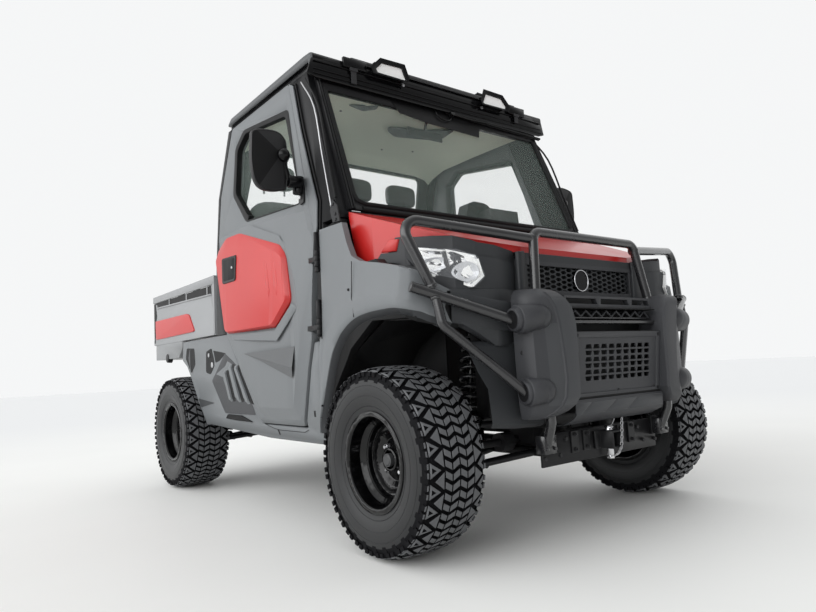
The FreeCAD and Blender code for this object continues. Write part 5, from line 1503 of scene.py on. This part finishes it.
def build_headliner():
    """The pale moulded lining under the roof with its visors and the grab recess, a dark plate of painted shade."""
    under = [(500, 1888), (620, 1893), (900, 1893), (1180, 1888), (1290, 1860), (1350, 1826)]
    drops = ((-640, 34), (-600, 14), (-520, 2), (-250, 0), (0, -1), (250, 0), (520, 2), (600, 14), (640, 34))
    lining = lofted("headliner", [[at(x, s, z - drop) for x, drop in drops] for s, z in under], "headliner")
    bm = bmesh.new()
    for x0, x1 in ((-612, -300), (300, 612)):
        plate(bm, [at(x0, 520, 1846), at(x1, 520, 1846), at(x1 - 26, 612, 1868), at(x0 + 26, 612, 1868)],
              (0, 0.002, 0.008))
    visors = bevelled(bmesh_piece("sun_visors", bm, "headliner"), 0.004, 3)
    bm = bmesh.new()
    # The grab recess and the wedge are dark plates under the lining: painted shade.
    grab = rounded([(-60, 806), (-34, 852), (56, 908), (252, 850), (306, 800), (280, 664), (120, 760)], 24, 4)
    plate(bm, [at(x, s, 1880) for x, s in grab], (0, 0, 0.006))
    wedge = rounded([(-392, 676), (-290, 700), (-246, 650), (-262, 600), (-320, 640)], 14, 4)
    plate(bm, [at(x, s, 1880) for x, s in wedge], (0, 0, 0.006))
    bevelled(bmesh_piece("lining_recess", bm, "cap_grey"), 0.002)
    bm = bmesh.new()
    for x, s in ((-420, 1000), (120, 1120), (-380, 760), (300, 1060), (60, 1250)):
        disc(bm, at(x, s, 1886), (0, 0, -1), 0.006, 0.003, 12)
    bmesh_piece("lining_plugs", bm, "cap_grey")
    # The mirror on the glass, and its stem.
    bm = bmesh.new()
    block(bm, at(-128, 560, 1748), at(96, 572, 1792))
    bevelled(bmesh_piece("cabin_mirror", bm, "cap_grey"), 0.008, 4)
    bar("cabin_mirror_stem", [at(-16, 566, 1790), at(-16, 540, 1850)], 0.007, "cap_grey")


def build_dash():
    """The cluster hood over the dashboard, and the steering wheel's rim and spokes."""
    outline = [(126, 1296), (126, 1362), (142, 1414), (176, 1427), (244, 1426), (276, 1416), (318, 1376), (372, 1346),
               (392, 1296)]
    top = rings("cluster_cowl", [[at(x, s, z) for x, z in rounded(shrunk(outline, share, (250, 1300)), 8, 3)]
                                 for s, share in ((470, 0.9), (448, 1.0), (520, 0.98))], "cabin_plastic")
    axis = Vector((0, math.cos(math.radians(32)), math.sin(math.radians(32))))
    centre = at(375, 800, 1235)
    side = Vector((1, 0, 0))
    other = axis.cross(side)
    circle = [centre + (side * math.cos(a) + other * math.sin(a)) * 0.165 for a in angles(72)]
    rim = bar("wheel_rim", circle, 0.0148, "soft_black", "steering_wheel", 20, cyclic=True)
    bm = bmesh.new()
    disc(bm, centre - axis * 0.036, axis, 0.050, 0.026, 40, 0.86)
    disc(bm, centre - axis * 0.110, axis, 0.0095, 0.080, 20)
    hub = bevelled(bmesh_piece("wheel_hub", bm, "soft_black", "steering_wheel"), 0.004, 3)
    sharpen(hub.data)
    spokes = []
    for number, turn in enumerate((0, 180, 270)):
        way = side * math.cos(math.radians(turn)) + other * math.sin(math.radians(turn))
        cross_way = axis.cross(way)
        bm = bmesh.new()
        points = [centre - axis * 0.012 + way * r + cross_way * w for r, w in
                  ((0.03, 0.022), (0.158, 0.014), (0.158, -0.014), (0.03, -0.022))]
        plate(bm, points, -axis * 0.010)
        spokes.append(bevelled(bmesh_piece(f"wheel_spoke{number}", bm, "soft_black", "steering_wheel"), 0.003, 3))
    for piece in [rim, hub] + spokes:
        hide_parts("steering_wheel")


# ---------------------------------------------------------------- bed and side panels
def build_bed_trim():
    """Top rail, its window and posts, the red insert, knobs and tail lamps, and the ribs of the floor and tailgate."""
    def one(side, sign):
        def wall(proud=0.0):
            return lambda s, z: at(sign * (730 + proud), s, z)
        def panel(name, outline, low, high, finish, share=0.985, bevel=0.0):
            piece = rings(name, [[wall(low)(*p) for p in outline], [wall(high)(*p) for p in shrunk(outline, share)]],
                          finish, "cargo_bed", bevel=bevel)
            return piece
        # The window is a dark plate: painted shade in the opening.
        panel(f"bed_window_{side}", [(2556, 1128), (1592, 1122), (1585, 1075), (2500, 1096), (2548, 1100)], 0.3, 1.0,
              "seal", 1.0)
        panel(f"bed_rail_{side}", [(2624, 1171), (1534, 1171), (1534, 1124), (2624, 1130)], -0.5, 7, "bed_steel",
              0.996, 0.002)
        panel(f"bed_sill_{side}", [(2560, 1099), (1585, 1077), (1585, 1068), (2560, 1090)], -0.5, 5, "bed_steel",
              0.996, 0.001)
        for number, s in enumerate((2297, 1980, 1644)):
            panel(f"bed_post{number}_{side}", [(s + 7, 1130), (s - 7, 1130), (s - 7, 1078), (s + 7, 1078)], 0.5, 4,
                  "bed_steel", 0.9)
        panel(f"bed_front_post_{side}", [(1562, 1171), (1533, 1171), (1533, 854), (1556, 854)], -0.5, 6, "bed_steel",
              0.99, 0.001)
        panel(f"bed_corner_{side}", [(2620, 1126), (2584, 1122), (2560, 1040), (2592, 990), (2600, 866), (2620, 864)],
              0.2, 1.0, "seal", 1.0)
        red = rounded([(2586, 1010), (1973, 1004), (1934, 994), (1851, 897), (1868, 890), (2577, 887)], 14)
        insert = rings(f"bed_insert_{side}", [[wall(proud)(*p) for p in shrunk(red, share)]
                                              for proud, share in ((-0.5, 1), (6, 0.985), (7, 0.93))],
                       "red_plastic", "cargo_bed")
        bm = bmesh.new()
        disc(bm, at(sign * 700, 2367, 757), (sign, 0, 0), 0.030, 0.030, 32, 0.9)
        knob = bevelled(bmesh_piece(f"bed_knob_{side}", bm, "mirror_shell", "cargo_bed"), 0.004, 3)
        sharpen(knob.data)
        # Tail lamp on the bracket's rear face.
        bm = bmesh.new()
        x0, x1 = sorted((sign * 600, sign * 690))
        block(bm, at(x0, 2600, 772), at(x1, 2608, 836))
        lamp = bevelled(bmesh_piece(f"tail_lamp_{side}", bm, "red_lens", "cargo_bed"), 0.006, 3)
    both_sides(one)
    bm = bmesh.new()
    for x in range(-600, 601, 120):
        block(bm, at(x - 22, 1560, 862), at(x + 22, 2600, 866))
    floor = bevelled(bmesh_piece("bed_floor_ribs", bm, "bed_steel", "cargo_bed"), 0.0015)
    bm = bmesh.new()
    for z in (900, 970, 1040, 1110):
        block(bm, at(-640, 2652, z - 8), at(640, 2657, z + 8))
    gate = bevelled(bmesh_piece("gate_ribs", bm, "bed_steel", "tailgate"), 0.002)
    bm = bmesh.new()
    block(bm, at(-90, 2651, 1080), at(90, 2661, 1132))
    handle = bevelled(bmesh_piece("gate_handle", bm, "mirror_shell", "tailgate"), 0.004, 3)


def build_panel_holes():
    """Each side panel's rear plate with its openings, rib and fittings, a wedge and small slots in the sill."""
    def one(side, sign):
        shapes = (([(1900, 796), (1780, 790), (1772, 700), (1838, 652), (1924, 738)], "seal", 0.8),
                  ([(1600, 762), (1520, 778), (1486, 706), (1496, 676), (1546, 640), (1612, 652)], "seal", 0.8),
                  ([(1496, 764), (1382, 750), (1330, 742), (1420, 706), (1470, 700)], "seal", 0.8),
                  ([(1766, 512), (1530, 490), (1740, 462)], "fascia_plastic", 0.9))
        back = [(1959, 834), (1979, 729), (1905, 690), (1858, 640), (1769, 492), (1728, 368), (1690, 366), (1690, 834)]
        rear = rings(f"panel_rear_{side}", [onto(sign, proud, back) for proud in (-9, -4.4)], "grey_plastic",
                     bevel=0.001)
        # The openings and the wedge are dark plates: painted shade in the holes.
        for number, (shape, finish, proud) in enumerate(shapes):
            ring = rounded(shape, 14 if number < 2 else 5, 4)
            piece = rings(f"panel_hole{number}_{side}", raised(sign, ring, (-4.2, 1), (-4 + proud, 1)), finish)
        rib = [(1880, 742), (1852, 790), (1840, 790), (1846, 700), (1838, 664), (1852, 668)]
        piece = rings(f"panel_rib_{side}", raised(sign, rib, (-3.6, 1), (-2, 0.9)),
                      "dark_plastic")
        bm = bmesh.new()
        disc(bm, skin(sign, -3.4)(1555, 742), (sign, 0, 0), 0.011, 0.004, 16)
        disc(bm, skin(sign, -3.4)(1512, 690), (sign, 0, 0), 0.015, 0.004, 16)
        bmesh_piece(f"panel_fittings_{side}", bm, "zinc")
        # The sill slots are dark plates: painted shade in the holes.
        bm = bmesh.new()
        for s, z in ((848, 369), (474, 461)):
            slot = [(s + a, z + b) for a, b in ((6, -12), (6, 12), (-6, 12), (-6, -12))]
            plate(bm, onto(sign, -4, slot), (sign * 0.001, 0, 0))
        bmesh_piece(f"sill_slots_{side}", bm, "seal")
        seam = bar(f"sill_seam_{side}", onto(sign, -3.6, ((962, 402), (880, 384), (824, 379), (602, 380), (560, 392))),
                   0.0014, "seal", sides=8)
    both_sides(one)


build_seats()
build_headliner()
build_dash()
build_bed_trim()
build_panel_holes()


# ---------------------------------------------------------------- plain carry-over
# How far the edges of the nodes whose own CAD shape shows are rounded.
ROUNDED = {
    "hood": 0.006, "side_panels": 0.008, "roof": 0.010, "cab_frame": 0.004,
    "cargo_bed": 0.003, "tailgate": 0.003, "dashboard": 0.01, "rear_wall": 0.003,
    "chassis_frame": 0.002,
}
HOOD_REACH = 0.7125  # the hood's rear corners swing down inside the fenders
ROOF_EDGE = 0.715  # the roof's sides outside this are painted a lighter grey: a painted highlight where the side light falls
WING_FROM = (0.60, 0.97)  # the fascia's ends beyond this lie under the red wings
WING_TUCK = Vector((0.006, 0.006, -0.004))
for node, width in ROUNDED.items():
    look = softened(node, width)
    if node == "hood":
        for vertex in look.data.vertices:
            vertex.co.x = max(-HOOD_REACH, min(HOOD_REACH, vertex.co.x))
        sharpen(look.data, 9)
    if node == "roof":
        look.data.materials.append(MATERIALS["lit_and_shaded_grey"])
        for face in look.data.polygons:
            face.material_index = int(abs(face.center.x) > ROOF_EDGE)
fascia = softened("front_fascia", 0.007, 2, "fascia_plastic")
for vertex in fascia.data.vertices:
    if abs(vertex.co.x) > WING_FROM[0] and vertex.co.z > WING_FROM[1]:
        vertex.co += Vector((-math.copysign(WING_TUCK.x, vertex.co.x), WING_TUCK.y, WING_TUCK.z))
for node, piece in frame["nodes"].items():
    if not piece.hide_render:
        for index in range(max(1, len(piece.data.materials))):
            piece.material_slots[index].material = MATERIALS.get(NODE_SLOT[node], MATERIALS["frame_black"])


# ---------------------------------------------------------------- stage, light and camera
def ramp(tree, source, low, high, start, stop):
    """A smooth step of a value from start to stop as the source goes from low to high."""
    step = tree.nodes.new("ShaderNodeMapRange")
    step.interpolation_type = "SMOOTHSTEP"
    for name, value in (("From Min", low), ("From Max", high), ("To Min", start), ("To Max", stop)):
        step.inputs[name].default_value = value
    tree.links.new(source, step.inputs["Value"])
    return step.outputs["Result"]


def combine(tree, operation, a, b):
    join = tree.nodes.new("ShaderNodeMath")
    join.operation = operation
    for socket, value in zip(join.inputs, (a, b)):
        if isinstance(value, (int, float)):
            socket.default_value = value
        else:
            tree.links.new(value, socket)
    return join.outputs["Value"]


def build_world():
    """A white studio: dimmer in front of the vehicle, with a wide soft light on its right side."""
    world = bpy.data.worlds.new("studio")
    bpy.context.scene.world = world
    world.use_nodes = True
    tree = world.node_tree
    place = tree.nodes.new("ShaderNodeTexCoord")
    split = tree.nodes.new("ShaderNodeSeparateXYZ")
    tree.links.new(place.outputs["Generated"], split.inputs["Vector"])
    x, y, z = (split.outputs[name] for name in "XYZ")
    around = ramp(tree, y, -0.9, 0.0, 0.36, 0.93)
    side = combine(tree, "MULTIPLY", ramp(tree, x, -0.35, -0.85, 0, 1), ramp(tree, z, 0.0, 0.12, 0, 1))
    side = combine(tree, "MULTIPLY", side, ramp(tree, z, 0.55, 0.9, 1, 0))
    total = combine(tree, "ADD", around, combine(tree, "MULTIPLY", side, 2.3))
    background = tree.nodes["Background"]
    background.inputs["Color"].default_value = (0.985, 0.995, 1.0, 1)
    tree.links.new(total, background.inputs["Strength"])


def build_floor():
    """A pale floor painted lighter near the vehicle and darker from two to nine metres out: painted light falling off
    away from it.
    """
    bpy.ops.mesh.primitive_plane_add(size=80, location=(0, 0, 0))
    floor = bpy.context.object
    floor.name = "floor"
    mat = material("floor", (0.88, 0.88, 0.862), 0.6, spread=0.03, grain=40, bump=0.25, patches=1.2, specular=0.2)
    tree = mat.node_tree
    place = tree.nodes.new("ShaderNodeTexCoord")
    reach = tree.nodes.new("ShaderNodeVectorMath")
    reach.operation = "LENGTH"
    tree.links.new(place.outputs["Object"], reach.inputs[0])
    far = ramp(tree, reach.outputs["Value"], 2.0, 9.0, 0.0, 1.0)
    blend = tree.nodes.new("ShaderNodeMix")
    blend.data_type = "RGBA"
    blend.inputs["B"].default_value = (0.80, 0.805, 0.81, 1)
    shader = tree.nodes["Principled BSDF"]
    tree.links.new(shader.inputs["Base Color"].links[0].from_socket, blend.inputs["A"])
    tree.links.new(far, blend.inputs["Factor"])
    tree.links.new(blend.outputs["Result"], shader.inputs["Base Color"])
    floor.data.materials.append(mat)


def build_camera():
    yaw, pitch, roll = (math.radians(a) for a in (37.87, 5.33, -2.91))
    ahead = Vector((math.sin(yaw) * math.cos(pitch), math.cos(yaw) * math.cos(pitch), math.sin(pitch)))
    right = Vector((math.cos(yaw), -math.sin(yaw), 0))
    up = right.cross(ahead)
    across = right * math.cos(roll) + up * math.sin(roll)
    over = up * math.cos(roll) - right * math.sin(roll)
    camera = bpy.data.cameras.new("camera")
    camera.sensor_width = 36.0
    camera.lens = 28.46
    holder = bpy.data.objects.new("camera", camera)
    bpy.context.scene.collection.objects.link(holder)
    turn = Matrix((across, over, -ahead)).transposed().to_4x4()
    holder.matrix_world = Matrix.Translation(at(-2026.6, -1812.8, 630.7)) @ turn
    bpy.context.scene.camera = holder


build_world()
build_floor()
build_camera()
bpy.context.scene.view_settings.view_transform = "Standard"
